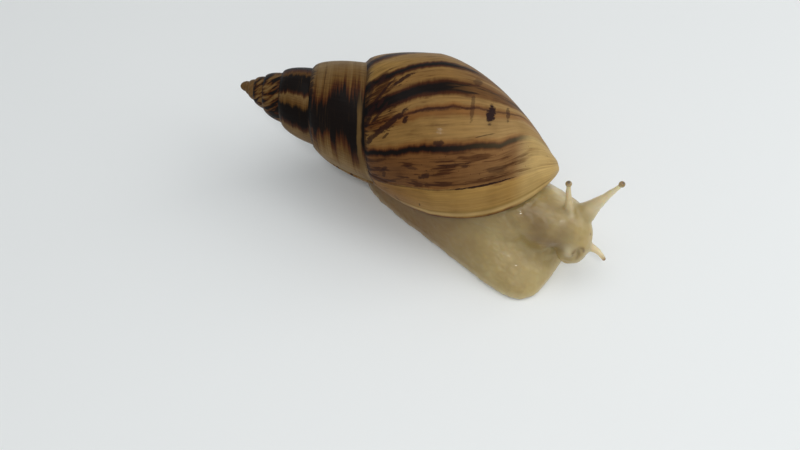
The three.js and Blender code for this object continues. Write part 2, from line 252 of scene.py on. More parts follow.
# ---- the shell's rule ------------------------------------------------------------------------------------
def profile(s, turn, across):
    """Profile of the shell in the half plane `turn` turns from the lip.

    `across` runs 0 to 1 from the suture to the next suture or to the widest line, 1 to 2 down to the base
    and 2 to 3 in to the axis. Gives z along the axis, r from it, and the share of the way to the base.
    """
    suture_z = s["Suture Z"] * s["Grow Z"] ** turn
    suture_r = s["Suture R"] * s["Grow R"] ** turn
    last = beyond(turn, -1.0)
    k = clamp(turn + 1.0)
    wide_z = mix(suture_z * s["Grow Z"], mix(s["Suture Z"], s["Widest Z"], k), last)
    wide_r = mix(suture_r * s["Grow R"], mix(s["Suture R"], s["Widest R"], k ** s["Widening"]), last)
    curve = mix(s["Band Curve"], mix(s["Band Curve"], s["Lip Curve"], k), last)
    base_z = mix(s["Back Base"], 1.0, k)
    bend = mix(s["Back Bend"], s["Lip Bend"], k)
    fall = mix(s["Back Fall"], s["Lip Fall"], k)
    up, down, inward = clamp(across), clamp(across - 1.0), clamp(across - 2.0)
    swell = mix(up, root(1.0 - (1.0 - up) * (1.0 - up)), curve)
    below = beyond(across, 1.0)
    z = mix(mix(suture_z, wide_z, up), mix(wide_z, base_z, down), below)
    low_r = s["Columella R"] + (wide_r - s["Columella R"]) * clamp(1.0 - down ** bend) ** fall
    r = mix(mix(suture_r, wide_r, swell), low_r, below) * (1.0 - inward)
    share = clamp((z - suture_z) / (base_z - suture_z))
    z = mix(z, s["Heart Z"], inward)
    return z * s["Length"], r * s["Length"], share


def leaned(s, turn, across):
    """Where the growth line that starts at the suture at `turn` has got to: it leans back to the base."""
    soon = 1.0 - clamp((turn + 1.0) / LEAN_IN)
    share = 1.0 - soon * soon
    at = turn
    for _ in range(LEAN_ROUNDS):
        v = profile(s, at, across)[2]
        at = turn - share * (s["Lean"] * v + s["Base Lean"] * v * v * v * v)
    return at


def spot(s, turn, across, inset, cap):
    """Place of a point in the shell's own frame: Z from the apex to the base, X towards the lip.

    `inset` is how far the point lies in from the outside towards the middle of the aperture, and `cap` how
    far it is up the dome over the apex, 0 to 1.
    """
    angle = leaned(s, turn, across)
    z, r, _ = profile(s, angle, across)
    flare = step(turn, *FLARE_FROM) * step(across, *FLARE_RISE) * (1.0 - step(across, *FLARE_FALL))
    corner = (step(turn, *CORNER_FROM) * (1.0 - step(turn, *CORNER_TO)) * step(across, *CORNER_RISE)
              * (1.0 - step(across, *CORNER_FALL)))
    r = r + (flare * s["Flare"] + corner * s["Corner"]) * s["Length"]
    z = z + corner * s["Corner"] * s["Length"] * CORNER_DROP
    to_z = s["Chamber Z"] * s["Length"] - z
    to_r = s["Chamber R"] * s["Length"] - r
    share = clamp(inset / root(to_z * to_z + to_r * to_r))
    z, r = z + to_z * share, r + to_r * share
    tip = s["Tip Z"] * s["Length"]
    z = tip + (z - tip) * (1.0 - sine(cap * (TAU / 4)))
    r = r * cosine(cap * (TAU / 4))
    return r * cosine(angle * TAU), r * sine(angle * TAU), z


def shell_place():
    """Matrix that stands the shell's own frame on the body."""
    level = AXIS.cross(Vector((0, 0, 1))).normalized()
    down = AXIS.cross(level)
    way = level * math.cos(LIP_TURN) + down * math.sin(LIP_TURN)
    place = Matrix((way, AXIS.cross(way), AXIS)).transposed().to_4x4()
    place.translation = APEX
    return place


# rim and inner wall of the aperture: turn and inset in mm of a ring, at the lip and on the whorl before
APERTURE = [
    (0.0012, 0.10, -1.0004, 0.02),
    (0.0022, 0.34, -1.0008, 0.04),
    (0.0012, 0.60, -1.0012, 0.06),
    (-0.0020, 0.74, -1.0030, 0.08),
    (-0.0150, 0.80, -1.0150, 0.10),
    (-0.0400, 0.90, -1.0400, 0.10),
    (-0.0650, 1.10, -1.0650, 0.10),
    (-0.0850, 1.60, -1.0850, 0.60),
]
CAP_ROWS = 4  # rings of the dome over the apex
CUTTER_STEPS = (96, 8, 24)  # columns, band rows and base rows of the coarser shell that cuts the skin
HEART_ROW = 2.1  # where the closed base ends on the growth map


class Net:
    """A flat net of the shell: points are (turn, across, inset), rolled up later by the shell's rule."""

    def __init__(self):
        self.points, self.caps, self.faces, self.growth = [], [], [], []

    def point(self, turn, across, inset=0.0, cap=0.0):
        self.points.append((turn, across, inset))
        self.caps.append(cap)
        return len(self.points) - 1

    def face(self, corners, growth):
        """Adds a face. `growth` holds the turn and across of each corner, for the growth map."""
        kept = [k for k in range(len(corners)) if corners[k] != corners[k - 1]]
        if len(kept) > 2:
            self.faces.append([corners[k] for k in kept])
            self.growth.extend(growth[k] for k in kept)


def shell_net(columns, band_rows, base_rows):
    """The net of the whole shell: its whorls, the base of the last one, the apex and the aperture."""
    net = Net()
    steps = int(TURNS * columns)
    rows = band_rows + base_rows
    first = steps - columns  # the column where the last whorl starts

    def across(j):
        if j <= band_rows:
            return j / band_rows
        return 1 + math.sin((j - band_rows) / base_rows * TAU / 4)

    def turn(i):
        return (i - steps) / columns

    index = {}
    for i in range(steps + 1):
        for j in range((rows if i >= first else band_rows) + 1):
            if j == band_rows and i <= first:
                continue  # the point is on the next whorl's suture
            index[i, j] = net.point(turn(i), across(j))

    def at(i, j):
        return index[i + columns, 0] if j == band_rows and i <= first else index[i, j]

    for i in range(steps):
        for j in range(rows if i >= first else band_rows):
            ring = ((i, j), (i + 1, j), (i + 1, j + 1), (i, j + 1))
            net.face([at(*p) for p in ring], [(turn(a), across(b)) for a, b in ring])
    heart = net.point(0.0, 3.0)
    for i in range(first, steps):
        net.face([at(i, rows), at(i + 1, rows), heart],
                 [(turn(i), 2.0), (turn(i + 1), 2.0), (turn(i), HEART_ROW)])

    # the apex: a small dome over the first turn
    loop = [(i, 0) for i in range(columns + 1)] + [(0, j) for j in range(band_rows - 1, 0, -1)]
    before = [at(*p) for p in loop]
    growth = [(turn(i), across(j)) for i, j in loop]
    count = len(loop)
    for row in range(1, CAP_ROWS):
        ring = [net.point(*net.points[at(*p)], cap=row / CAP_ROWS) for p in loop]
        for k in range(count):
            n = (k + 1) % count
            net.face([before[n], before[k], ring[k], ring[n]], [growth[n], growth[k], growth[k], growth[n]])
        before = ring
    tip = net.point(-TURNS, 0.0, cap=1.0)
    for k in range(count):
        n = (k + 1) % count
        net.face([before[n], before[k], tip], [growth[n], growth[k], growth[k]])

    # the aperture: round the lip, then back into the whorl
    lip = [(0.0, across(j)) for j in range(rows + 1)]
    wall = [(-1.0, across(j)) for j in range(rows, band_rows, -1)]
    before = [at(steps, j) for j in range(rows + 1)] + [heart]
    before += [at(first, j) for j in range(rows, band_rows, -1)]
    growth = lip + [(0.0, HEART_ROW)] + [(0.0, a) for _, a in wall]
    count = len(before)
    for lip_turn, lip_inset, wall_turn, wall_inset in APERTURE:
        ring = [net.point(lip_turn, a, lip_inset) for _, a in lip]
        ring.append(net.point(lip_turn, 3.0, lip_inset))
        ring += [net.point(wall_turn, a, wall_inset) for _, a in wall]
        for k in range(count):
            n = (k + 1) % count
            net.face([before[k], before[n], ring[n], ring[k]], [growth[k], growth[n], growth[n], growth[k]])
        before = ring
    end = net.point(APERTURE[-1][0], 1.0, SHELL["Length"])
    for k in range(count):
        n = (k + 1) % count
        net.face([before[k], before[n], end], [growth[k], growth[n], growth[k]])
    return net


# ---- mesh helpers ----------------------------------------------------------------------------------------
def new_object(name, points, faces):
    """An object in the scene with a mesh of these points and faces."""
    mesh = bpy.data.meshes.new(name)
    mesh.from_pydata([tuple(p) for p in points], [], faces)
    mesh.update()
    piece = bpy.data.objects.new(name, mesh)
    bpy.context.scene.collection.objects.link(piece)
    return piece


def face_outwards(mesh):
    """Turns every face of a closed mesh outwards."""
    bm = bmesh.new()
    bm.from_mesh(mesh)
    bmesh.ops.recalc_face_normals(bm, faces=bm.faces)
    if bm.calc_volume(signed=True) < 0:
        bmesh.ops.reverse_faces(bm, faces=bm.faces)
    bm.to_mesh(mesh)
    bm.free()


def settle(piece):
    """Turns a piece and its modifiers into a plain mesh."""
    graph = bpy.context.evaluated_depsgraph_get()
    mesh = bpy.data.meshes.new_from_object(piece.evaluated_get(graph), depsgraph=graph)
    piece.modifiers.clear()
    old = piece.data
    piece.data = mesh
    bpy.data.meshes.remove(old)
    mesh.name = piece.name


def remesh(piece, voxel):
    """Wraps a piece in one even skin with points about `voxel` apart."""
    change = piece.modifiers.new("even", "REMESH")
    change.mode = "VOXEL"
    change.voxel_size = voxel
    change.adaptivity = 0.0
    settle(piece)


def points_of(mesh):
    points = np.empty(len(mesh.vertices) * 3, np.float32)
    mesh.vertices.foreach_get("co", points)
    return points.reshape(-1, 3).astype(float)


def normals_of(mesh):
    normals = np.empty(len(mesh.vertices) * 3, np.float32)
    mesh.vertex_normals.foreach_get("vector", normals)
    return normals.reshape(-1, 3).astype(float)


def set_points(mesh, points):
    mesh.vertices.foreach_set("co", points.astype(np.float32).ravel())
    mesh.update()


def join(name, pieces):
    """One object from several, with their meshes side by side."""
    points, faces = [], []
    for piece in pieces:
        start = len(points)
        points.extend(v.co.copy() for v in piece.data.vertices)
        faces.extend([start + v for v in p.vertices] for p in piece.data.polygons)
        drop(piece)
    return new_object(name, points, faces)


def drop(piece):
    mesh = piece.data
    bpy.data.objects.remove(piece)
    bpy.data.meshes.remove(mesh)


def relax(mesh, rounds):
    """Evens a mesh out: in each round every point moves half the way to the mean of its neighbours."""
    edges = np.empty(len(mesh.edges) * 2, np.int32)
    mesh.edges.foreach_get("vertices", edges)
    a, b = edges.reshape(-1, 2).T
    points = points_of(mesh)
    count = len(points)
    degree = np.maximum(np.bincount(a, minlength=count) + np.bincount(b, minlength=count), 1)
    for _ in range(rounds):
        mean = np.stack([np.bincount(a, points[b, k], count) + np.bincount(b, points[a, k], count)
                         for k in range(3)], -1) / degree[:, None]
        points += (mean - points) * 0.5
    set_points(mesh, points)


def store(mesh, name, values):
    """Stores one number for each point of a mesh, under a name that nodes can read."""
    mesh.attributes.new(name, "FLOAT", "POINT").data.foreach_set("value", np.asarray(values, np.float32))


def to_metres(mesh):
    """Brings a finished mesh from millimetres to metres and shades it smooth."""
    mesh.transform(Matrix.Scale(MM, 4))
    mesh.shade_smooth()


def spline(rows, samples):
    """A smooth curve through rows of numbers, with `samples` steps between each two rows."""
    rows = np.asarray(rows, float)
    gaps = np.sqrt(np.linalg.norm(np.diff(rows[:, :3], axis=0), axis=1))
    times = np.concatenate([[0], np.cumsum(gaps)])
    slopes = np.gradient(rows, times, axis=0)
    made = []
    for k in range(len(rows) - 1):
        t = np.linspace(0, 1, samples, endpoint=False)[:, None]
        gap = times[k + 1] - times[k]
        made.append((2 * t**3 - 3 * t**2 + 1) * rows[k] + (t**3 - 2 * t**2 + t) * gap * slopes[k]
                    + (3 * t**2 - 2 * t**3) * rows[k + 1] + (t**3 - t**2) * gap * slopes[k + 1])
    return np.concatenate(made + [rows[-1:]])


def loft(name, rings):
    """A closed tube over rings of points, with a fan over each end."""
    rings = np.asarray(rings)
    count, sides = rings.shape[:2]
    points = list(rings.reshape(-1, 3)) + [rings[0].mean(0), rings[-1].mean(0)]
    faces = []
    for k in range(count - 1):
        for i in range(sides):
            a, b = k * sides + i, k * sides + (i + 1) % sides
            faces.append((a, b, b + sides, a + sides))
    for i in range(sides):
        n = (i + 1) % sides
        faces.append((n, i, count * sides))
        faces.append(((count - 1) * sides + i, (count - 1) * sides + n, count * sides + 1))
    piece = new_object(name, points, faces)
    face_outwards(piece.data)
    return piece


def rings_along(rows, samples, sides):
    """Rings square to a curve, turned as little as possible from one to the next."""
    curve = spline(rows, samples)
    ways = np.gradient(curve[:, :3], axis=0)
    across = np.array([0.0, 1.0, 0.0])
    turns = np.arange(sides) * TAU / sides
    rings = []
    for row, way in zip(curve, ways):
        way = way / np.linalg.norm(way)
        across = across - way * (way @ across)
        across /= np.linalg.norm(across)
        up = np.cross(way, across)
        wide, high = row[3], row[-1]
        rings.append(row[:3] + np.outer(np.cos(turns) * wide, across) + np.outer(np.sin(turns) * high, up))
    return rings


def path_distance(points, path):
    """Distance of each point from a path of straight stretches, and how far along it is, 0 to 1."""
    path = np.asarray(path, float)
    best, along = np.full(len(points), 1e9), np.zeros(len(points))
    for k in range(len(path) - 1):
        way = path[k + 1] - path[k]
        t = np.clip((points - path[k]) @ way / (way @ way), 0, 1)
        far = np.linalg.norm(points - path[k] - t[:, None] * way, axis=1)
        nearer = far < best
        best[nearer] = far[nearer]
        along[nearer] = (k + t[nearer]) / (len(path) - 1)
    return best, along


# ---- node helpers ----------------------------------------------------------------------------------------
def node_tree(name, kind, inputs, outputs):
    """A node group with named inputs (socket type, name, default) and outputs (socket type, name)."""
    tree = bpy.data.node_groups.new(name, kind)
    for socket_type, label, default in inputs:
        socket = tree.interface.new_socket(name=label, in_out="INPUT", socket_type=socket_type)
        if default is not None:
            socket.default_value = default
    for socket_type, label in outputs:
        tree.interface.new_socket(name=label, in_out="OUTPUT", socket_type=socket_type)
    start = tree.nodes.new("NodeGroupInput")
    end = tree.nodes.new("NodeGroupOutput")
    return tree, start, end


def set_input(change, label, value):
    """Sets a Geometry Nodes modifier's input by the identifier of its socket."""
    for item in change.node_group.interface.items_tree:
        if item.item_type == "SOCKET" and item.in_out == "INPUT" and item.name == label:
            change[item.identifier] = value
            return
    raise KeyError(label)


def vector_of(tree, x, y, z):
    node = tree.nodes.new("ShaderNodeCombineXYZ")
    for value, socket in zip((x, y, z), node.inputs):
        plug(value, socket)
    return node.outputs[0]


def parts_of(tree, vector):
    """The three numbers of a vector, as Fields."""
    node = tree.nodes.new("ShaderNodeSeparateXYZ")
    tree.links.new(vector, node.inputs[0])
    return [Field(socket) for socket in node.outputs]


def vector_maths(tree, operation, vector, other=None):
    """A vector math node. Its second input is a vector, or a number where the operation is SCALE."""
    node = tree.nodes.new("ShaderNodeVectorMath")
    node.operation = operation
    tree.links.new(vector, node.inputs[0])
    if other is not None:
        plug(other, node.inputs["Scale" if operation == "SCALE" else 1])
    return node.outputs["Value" if operation == "LENGTH" else "Vector"]


def noise(tree, vector, scale=1.0, detail=2.0, rough=0.5):
    """Smooth noise from 0 to 1, with 0.5 in the middle."""
    node = tree.nodes.new("ShaderNodeTexNoise")
    node.noise_dimensions = "3D"
    plug(vector, node.inputs["Vector"])
    plug(scale, node.inputs["Scale"])
    plug(detail, node.inputs["Detail"])
    plug(rough, node.inputs["Roughness"])
    return Field(node.outputs[0])


def ramp(tree, value, stops):
    """A colour ramp. `stops` are (position from 0 to 1, linear colour)."""
    node = tree.nodes.new("ShaderNodeValToRGB")
    plug(value, node.inputs[0])
    band = node.color_ramp
    while len(band.elements) > 1:
        band.elements.remove(band.elements[-1])
    band.elements[0].position = stops[0][0]
    band.elements[0].color = (*stops[0][1], 1.0)
    for position, colour in stops[1:]:
        band.elements.new(position).color = (*colour, 1.0)
    return node.outputs[0]


def blend(tree, share, a, b, mode="MIX"):
    """Mixes two colours by a share from 0 to 1."""
    node = tree.nodes.new("ShaderNodeMix")
    node.data_type = "RGBA"
    node.blend_type = mode
    plug(share, node.inputs["Factor"])
    for value, socket in ((a, node.inputs[6]), (b, node.inputs[7])):
        plug((*value, 1.0) if isinstance(value, tuple) else value, socket)
    return node.outputs[2]


def srgb(red, green, blue):
    """A linear colour from levels of 0 to 255 as a screen shows them."""
    shares = (red / 255, green / 255, blue / 255)
    return tuple(c / 12.92 if c <= 0.04045 else ((c + 0.055) / 1.055) ** 2.4 for c in shares)


def material_of(name, **values):
    """A material with one Principled BSDF, whose sockets are set by name."""
    made = bpy.data.materials.new(name)
    made.use_nodes = True
    tree = made.node_tree
    shader = tree.nodes["Principled BSDF"]
    for label, value in values.items():
        shader.inputs[label.replace("_", " ")].default_value = value
    return made, tree, shader


def bump(tree, shader, height, distance, strength, into="Normal"):
    """Roughens a normal of the shader by a height from 0 to 1 that stands for `distance` in metres."""
    node = tree.nodes.new("ShaderNodeBump")
    node.inputs["Strength"].default_value = strength
    node.inputs["Distance"].default_value = distance
    plug(height, node.inputs["Height"])
    tree.links.new(node.outputs[0], shader.inputs[into])


def attribute(tree, name):
    """A number that `store` put on the mesh, read in a material."""
    node = tree.nodes.new("ShaderNodeAttribute")
    node.attribute_name = name
    return Field(node.outputs["Fac"])


def object_place(tree):
    """Object coordinates in millimetres."""
    return vector_maths(tree, "SCALE", tree.nodes.new("ShaderNodeTexCoord").outputs["Object"], 1000.0)


def mottle_group():
    """Soft cloudy variation at two scales, used by every material."""
    name = "mottle"
    if name in bpy.data.node_groups:
        return bpy.data.node_groups[name]
    tree, start, end = node_tree(
        name, "ShaderNodeTree",
        [("NodeSocketVector", "Place", None), ("NodeSocketFloat", "Cloud Size", 6.0),
         ("NodeSocketFloat", "Grain Size", 0.6)],
        [("NodeSocketFloat", "Cloud"), ("NodeSocketFloat", "Grain")],
    )
    cloud = noise(tree, start.outputs["Place"], 1.0 / Field(start.outputs["Cloud Size"]), 2.0)
    grain = noise(tree, start.outputs["Place"], 1.0 / Field(start.outputs["Grain Size"]), 3.0)
    plug(cloud, end.inputs["Cloud"])
    plug(grain, end.inputs["Grain"])
    return tree


def mottle(tree, place, cloud_size, grain_size):
    """Places the mottle group in a material, with the sizes of its clouds and grains in millimetres."""
    node = tree.nodes.new("ShaderNodeGroup")
    node.node_tree = mottle_group()
    plug(place, node.inputs["Place"])
    node.inputs["Cloud Size"].default_value = cloud_size
    node.inputs["Grain Size"].default_value = grain_size
    return Field(node.outputs["Cloud"]), Field(node.outputs["Grain"])


# ---- sizes and colours -----------------------------------------------------------------------------------
def colour_property(name, description, default):
    return bpy.props.FloatVectorProperty(
        name=name, description=description, default=default, size=3, min=0.0, max=1.0, subtype="COLOR")


class ShellSizes(bpy.types.PropertyGroup):
    columns: bpy.props.IntProperty(name="Columns", description="Steps in one turn", default=400, min=24)
    band_rows: bpy.props.IntProperty(
        name="Band rows", description="Steps from one suture to the next", default=20, min=4)
    base_rows: bpy.props.IntProperty(
        name="Base rows", description="Steps from the widest line to the base", default=56, min=8)
    ridge: bpy.props.FloatProperty(
        name="Ridge height", description="Height of the growth ridges in millimetres", default=0.16)
    wave: bpy.props.FloatProperty(
        name="Wave height", description="Height of the broad growth waves in millimetres", default=0.42)
    cream: colour_property("Cream", "Ground colour of the last whorl", srgb(137, 105, 59))
    tan: colour_property("Tan", "Browner ground of the last whorl", srgb(118, 79, 39))
    pink: colour_property("Pink", "Streaked zone before the newest growth", srgb(107, 71, 37))
    ochre: colour_property("Ochre", "The newest growth behind the lip", srgb(156, 121, 64))
    # the small whorls' ground is darker than the last whorl's: partly their own browner colour, partly
    # painted shade
    amber: colour_property("Amber", "Brown ground of the small whorls", srgb(98, 70, 34))
    straw: colour_property("Straw", "Pale ground of the small whorls", srgb(126, 102, 66))
    brown: colour_property("Brown", "Edges of the flames", srgb(66, 33, 12))
    dark: colour_property("Dark", "Middle of the flames", srgb(13, 6, 4))


class SkinSizes(bpy.types.PropertyGroup):
    voxel: bpy.props.FloatProperty(
        name="Detail", description="Spacing of the skin's points in millimetres", default=0.42, min=0.2)
    cell: bpy.props.FloatProperty(
        name="Tubercle size", description="Width of a skin tubercle in millimetres", default=1.9)
    relief: bpy.props.FloatProperty(
        name="Tubercle height", description="Depth of the grooves between tubercles in millimetres",
        default=0.09)
    frill: bpy.props.FloatProperty(
        name="Frill", description="Waves of the foot's rim in millimetres", default=0.7)
    flesh: colour_property("Flesh", "Ground colour of the skin", srgb(170, 149, 95))
    deep: colour_property("Deep", "Organs seen through the skin of the neck", srgb(112, 84, 42))
    pale: colour_property("Pale", "Thin wet edges and feelers", srgb(236, 227, 194))
    mouth: colour_property("Mouth", "The mouth and the tips of the feelers", srgb(92, 60, 22))


class EyeSizes(bpy.types.PropertyGroup):
    radius: bpy.props.FloatProperty(
        name="Radius", description="Radius of a feeler's tip in millimetres", default=1.0)
    skin: colour_property("Skin", "Thin skin over the tip", srgb(172, 156, 112))
    amber: colour_property("Amber", "Flesh round the eye inside the tip", srgb(146, 120, 72))
    retina: colour_property("Retina", "The dark eye inside the tip", srgb(86, 66, 36))


class StageSizes(bpy.types.PropertyGroup):
    azimuth: bpy.props.FloatProperty(
        name="Azimuth", description="Camera's bearing in degrees", default=41.6)
    elevation: bpy.props.FloatProperty(
        name="Elevation", description="Camera's height in degrees", default=55.0)
    distance: bpy.props.FloatProperty(
        name="Distance", description="Camera to its target", default=0.325, unit="LENGTH")
    target: bpy.props.FloatVectorProperty(
        name="Target", description="Point the camera looks at", default=(-0.011, -0.024, 0.0), size=3,
        subtype="TRANSLATION")
    field: bpy.props.FloatProperty(
        name="Field", description="Camera's horizontal field in degrees", default=46.0)
    floor: colour_property("Floor", "Colour of the floor", srgb(238, 241, 241))
    backdrop: colour_property(
        "Backdrop", "Colour of the sky and the far floor as they are seen", srgb(220, 223, 224))


# ---- the shell -------------------------------------------------------------------------------------------
def shell_tree():
    """Geometry Nodes that roll the flat net up into the spiral, then raise its growth ridges."""
    inputs = [("NodeSocketGeometry", "Net", None)]
    inputs += [("NodeSocketFloat", label, value) for label, value in SHELL.items()]
    inputs += [("NodeSocketFloat", "Ridge", 0.1), ("NodeSocketFloat", "Wave", 0.3),
               ("NodeSocketFloat", "Seed", 3.0), ("NodeSocketMaterial", "Material", None)]
    tree, start, end = node_tree(
        "spiral growth", "GeometryNodeTree", inputs, [("NodeSocketGeometry", "Shell")])
    size = {label: Field(start.outputs[label]) for label in (*SHELL, "Ridge", "Wave", "Seed")}
    turn, across, inset = parts_of(tree, tree.nodes.new("GeometryNodeInputPosition").outputs[0])
    cap = named(tree, "cap")

    def relief(by_turn, by_across, seed, detail=1.0, rough=0.5):
        """Noise over the net, from about -0.3 to 0.3."""
        place = vector_of(tree, turn * by_turn, across * by_across, size["Seed"] + seed)
        return noise(tree, place, 1.0, detail, rough) - 0.5

    # broad waves, fine ridges, faint spiral threads and the suture's crimps, all fading towards the small
    # whorls and the aperture, and one groove where growth has rested
    big = size["Grow R"] ** turn
    waves = relief(26.0, 0.8, 0.0)
    ridges = relief(120.0, 1.2, 9.0, 2.0, 0.6)
    threads = relief(5.0, 40.0, 17.0)
    crimp = relief(70.0, 6.0, 29.0)
    shoulder = 1.0 - step(across, 0.05, 0.35)
    rest = step(turn, -0.0895, -0.0875) * (1.0 - step(turn, -0.0875, -0.08))
    height = size["Wave"] * waves + size["Ridge"] * (ridges + crimp * shoulder * 1.4 - rest * 0.8)
    height = height + size["Ridge"] * 0.35 * threads
    height = height * big * (1.0 - step(inset, 0.0, 0.3)) * (1.0 - step(across, 1.9, 2.0)) * (1.0 - cap)
    keep = tree.nodes.new("GeometryNodeStoreNamedAttribute")
    keep.data_type = "FLOAT"
    keep.inputs["Name"].default_value = "height"
    tree.links.new(start.outputs["Net"], keep.inputs["Geometry"])
    plug(height, keep.inputs["Value"])

    roll = tree.nodes.new("GeometryNodeSetPosition")
    tree.links.new(keep.outputs[0], roll.inputs["Geometry"])
    plug(vector_of(tree, *spot(size, turn, across, inset, cap)), roll.inputs["Position"])

    finish_tree(tree, start, end, along_normal(tree, roll.outputs[0], named(tree, "height")))
    return tree


def finish_tree(tree, start, end, geometry):
    """Ends a tree in Realize Instances and Set Material."""
    real = tree.nodes.new("GeometryNodeRealizeInstances")
    coat = tree.nodes.new("GeometryNodeSetMaterial")
    tree.links.new(geometry, real.inputs[0])
    tree.links.new(real.outputs[0], coat.inputs["Geometry"])
    tree.links.new(start.outputs["Material"], coat.inputs["Material"])
    tree.links.new(coat.outputs[0], end.inputs[0])


def net_object(name, net):
    """The flat net as an object, with its growth map and the apex's cap values."""
    piece = new_object(name, net.points, net.faces)
    mesh = piece.data
    store(mesh, "cap", net.caps)
    growth = mesh.uv_layers.new(name="growth")
    spots = np.array(net.growth)
    spots[:, 0] = 1 + spots[:, 0] / TURNS
    spots[:, 1] /= 3
    growth.data.foreach_set("uv", spots.ravel())
    return piece


def shell_cutter(grow):
    """A coarser shell, standing off by `grow`, to cut the skin with."""
    net = shell_net(*CUTTER_STEPS)
    turn, across, inset = np.array(net.points).T
    points = np.stack(spot(SHELL, turn, across, inset, np.array(net.caps)), -1)
    piece = new_object("cutter", points, net.faces)
    mesh = piece.data
    face_outwards(mesh)
    set_points(mesh, points_of(mesh) + normals_of(mesh) * grow)
    mesh.transform(shell_place())
    return piece


# Bands of growth from the old whorls to the lip: turns from the lip and a colour name
GROWTH = [
    (-2.62, "amber"), (-2.56, "brown"), (-2.52, "dark"), (-2.43, "dark"), (-2.40, "brown"),
    (-2.375, "amber"), (-2.355, "dark"), (-2.275, "dark"), (-2.262, "brown"), (-2.25, "straw"),
    (-2.215, "amber"), (-2.20, "dark"), (-2.13, "dark"), (-2.11, "brown"), (-2.09, "straw"),
    (-2.00, "straw"), (-1.95, "brown"), (-1.93, "dark"), (-1.90, "dark"), (-1.87, "amber"),
    (-1.79, "straw"), (-1.75, "dark"), (-1.66, "dark"), (-1.63, "brown"), (-1.56, "amber"),
    (-1.46, "straw"), (-1.345, "amber"), (-1.315, "brown"), (-1.29, "dark"), (-1.17, "dark"),
    (-1.145, "brown"), (-1.115, "amber"), (-1.06, "straw"), (-1.00, "straw"), (-0.985, "tan"),
    (-0.975, "dark"), (-0.955, "dark"), (-0.945, "tan"), (-0.90, "cream"), (-0.86, "cream"),
    (-0.85, "brown"), (-0.835, "dark"), (-0.80, "dark"), (-0.785, "brown"), (-0.76, "tan"),
    (-0.71, "cream"), (-0.69, "brown"), (-0.68, "dark"), (-0.665, "brown"), (-0.65, "cream"),
    (-0.60, "cream"), (-0.585, "brown"), (-0.57, "dark"), (-0.535, "dark"), (-0.52, "tan"),
    (-0.48, "cream"), (-0.465, "brown"), (-0.455, "dark"), (-0.44, "brown"), (-0.425, "cream"),
    (-0.374, "cream"), (-0.368, "brown"), (-0.3625, "dark"), (-0.3575, "dark"), (-0.351, "brown"),
    (-0.345, "cream"), (-0.318, "cream"), (-0.308, "brown"), (-0.301, "dark"), (-0.287, "dark"),
    (-0.279, "brown"), (-0.272, "cream"), (-0.262, "cream"), (-0.255, "tan"), (-0.2505, "brown"),
    (-0.2485, "brown"), (-0.246, "tan"), (-0.238, "tan"), (-0.228, "cream"), (-0.194, "cream"),
    (-0.184, "tan"), (-0.179, "brown"), (-0.176, "dark"), (-0.169, "dark"), (-0.166, "brown"),
    (-0.161, "pink"), (-0.096, "pink"), (-0.090, "tan"), (-0.084, "ochre"), (-0.009, "ochre"),
    # the tan and brown at the lip's very edge: partly the lip's own brown edge, partly painted shadow where
    # the skin meets the lip
    (-0.004, "tan"), (0.0, "brown"),
]
# Stray marks: turn, across, half length in turns, half width, lean in turns per unit across, strength
MARKS = [
    (-0.242, 1.42, 0.023, 0.036, 0.0, 1.0), (-0.246, 1.56, 0.020, 0.017, 0.0, 0.6),
    (-0.237, 0.59, 0.008, 0.035, 0.0, 0.9), (-0.252, 1.27, 0.030, 0.017, 0.0, 0.5),
    (-0.120, 0.92, 0.006, 0.08, -0.04, 0.8), (-0.117, 1.52, 0.007, 0.08, 0.03, 0.45),
    (-0.194, 1.40, 0.0012, 0.09, -0.05, 0.7), (-0.022, 0.46, 0.012, 0.05, 0.35, 0.35),
    (-0.035, 0.84, 0.006, 0.012, 0.0, 0.7), (-0.136, 1.26, 0.004, 0.03, 0.0, 0.7),
    (-0.088, 1.42, 0.0028, 0.25, 0.0, 0.95), (-0.088, 0.70, 0.0022, 0.70, 0.0, 0.45),
    (-0.142, 1.18, 0.0014, 0.14, 0.0, 0.6), (-0.138, 0.72, 0.004, 0.09, 0.03, 0.55),
    (-0.132, 0.30, 0.006, 0.06, -0.10, 0.6), (-0.118, 0.30, 0.008, 0.03, -0.10, 0.6),
    (-0.108, 0.52, 0.003, 0.14, -0.05, 0.4), (-0.184, 1.04, 0.007, 0.04, 0.0, 0.8),
    (-0.235, 0.34, 0.010, 0.26, -0.09, 0.9), (-0.209, 0.10, 0.012, 0.06, -0.12, 0.85),
    (-0.333, 0.50, 0.006, 0.17, -0.06, 0.9), (-0.318, 0.22, 0.005, 0.15, -0.14, 0.85),
    (-0.298, 0.23, 0.008, 0.05, -0.12, 0.9), (-0.272, 0.22, 0.006, 0.12, -0.16, 0.8),
    (-0.287, 0.10, 0.010, 0.06, -0.15, 0.8), (-0.356, 0.22, 0.010, 0.05, -0.10, 0.85),
    (-0.262, 0.06, 0.012, 0.05, -0.20, 0.8), (-0.345, 0.08, 0.016, 0.04, -0.20, 0.7),
    (-0.249, 0.95, 0.004, 0.30, 0.0, 0.5), (-0.320, 1.30, 0.012, 0.04, 0.0, 0.5),
    (-0.212, 0.33, 0.004, 0.05, -0.1, 0.7),
]
STOPS_A_RAMP = 32  # as many as one colour ramp holds
# Stops of the ramp for the tip, where the flames are narrow and follow a noise from 0 to 1
TIP_STOPS = [(0.0, "dark"), (0.43, "dark"), (0.47, "brown"), (0.52, "amber"), (0.62, "straw")]
# Colours laid over the flames and their ground
OVER = {
    # paler ground towards the base: partly the shell's own faded colour, partly painted light on the side
    # where the light falls
    "faded_and_lit": srgb(158, 128, 80),
    "new brown": srgb(124, 86, 38),
    "new corner": srgb(188, 160, 104),
    "rim": srgb(190, 164, 112),
    "rim line": srgb(124, 100, 50),
    "frayed": srgb(116, 82, 46),
    "mark": srgb(34, 12, 9),
    "pale streak": srgb(108, 82, 50),
    "shelf": srgb(104, 80, 46),
    "worn": srgb(112, 84, 50),
}
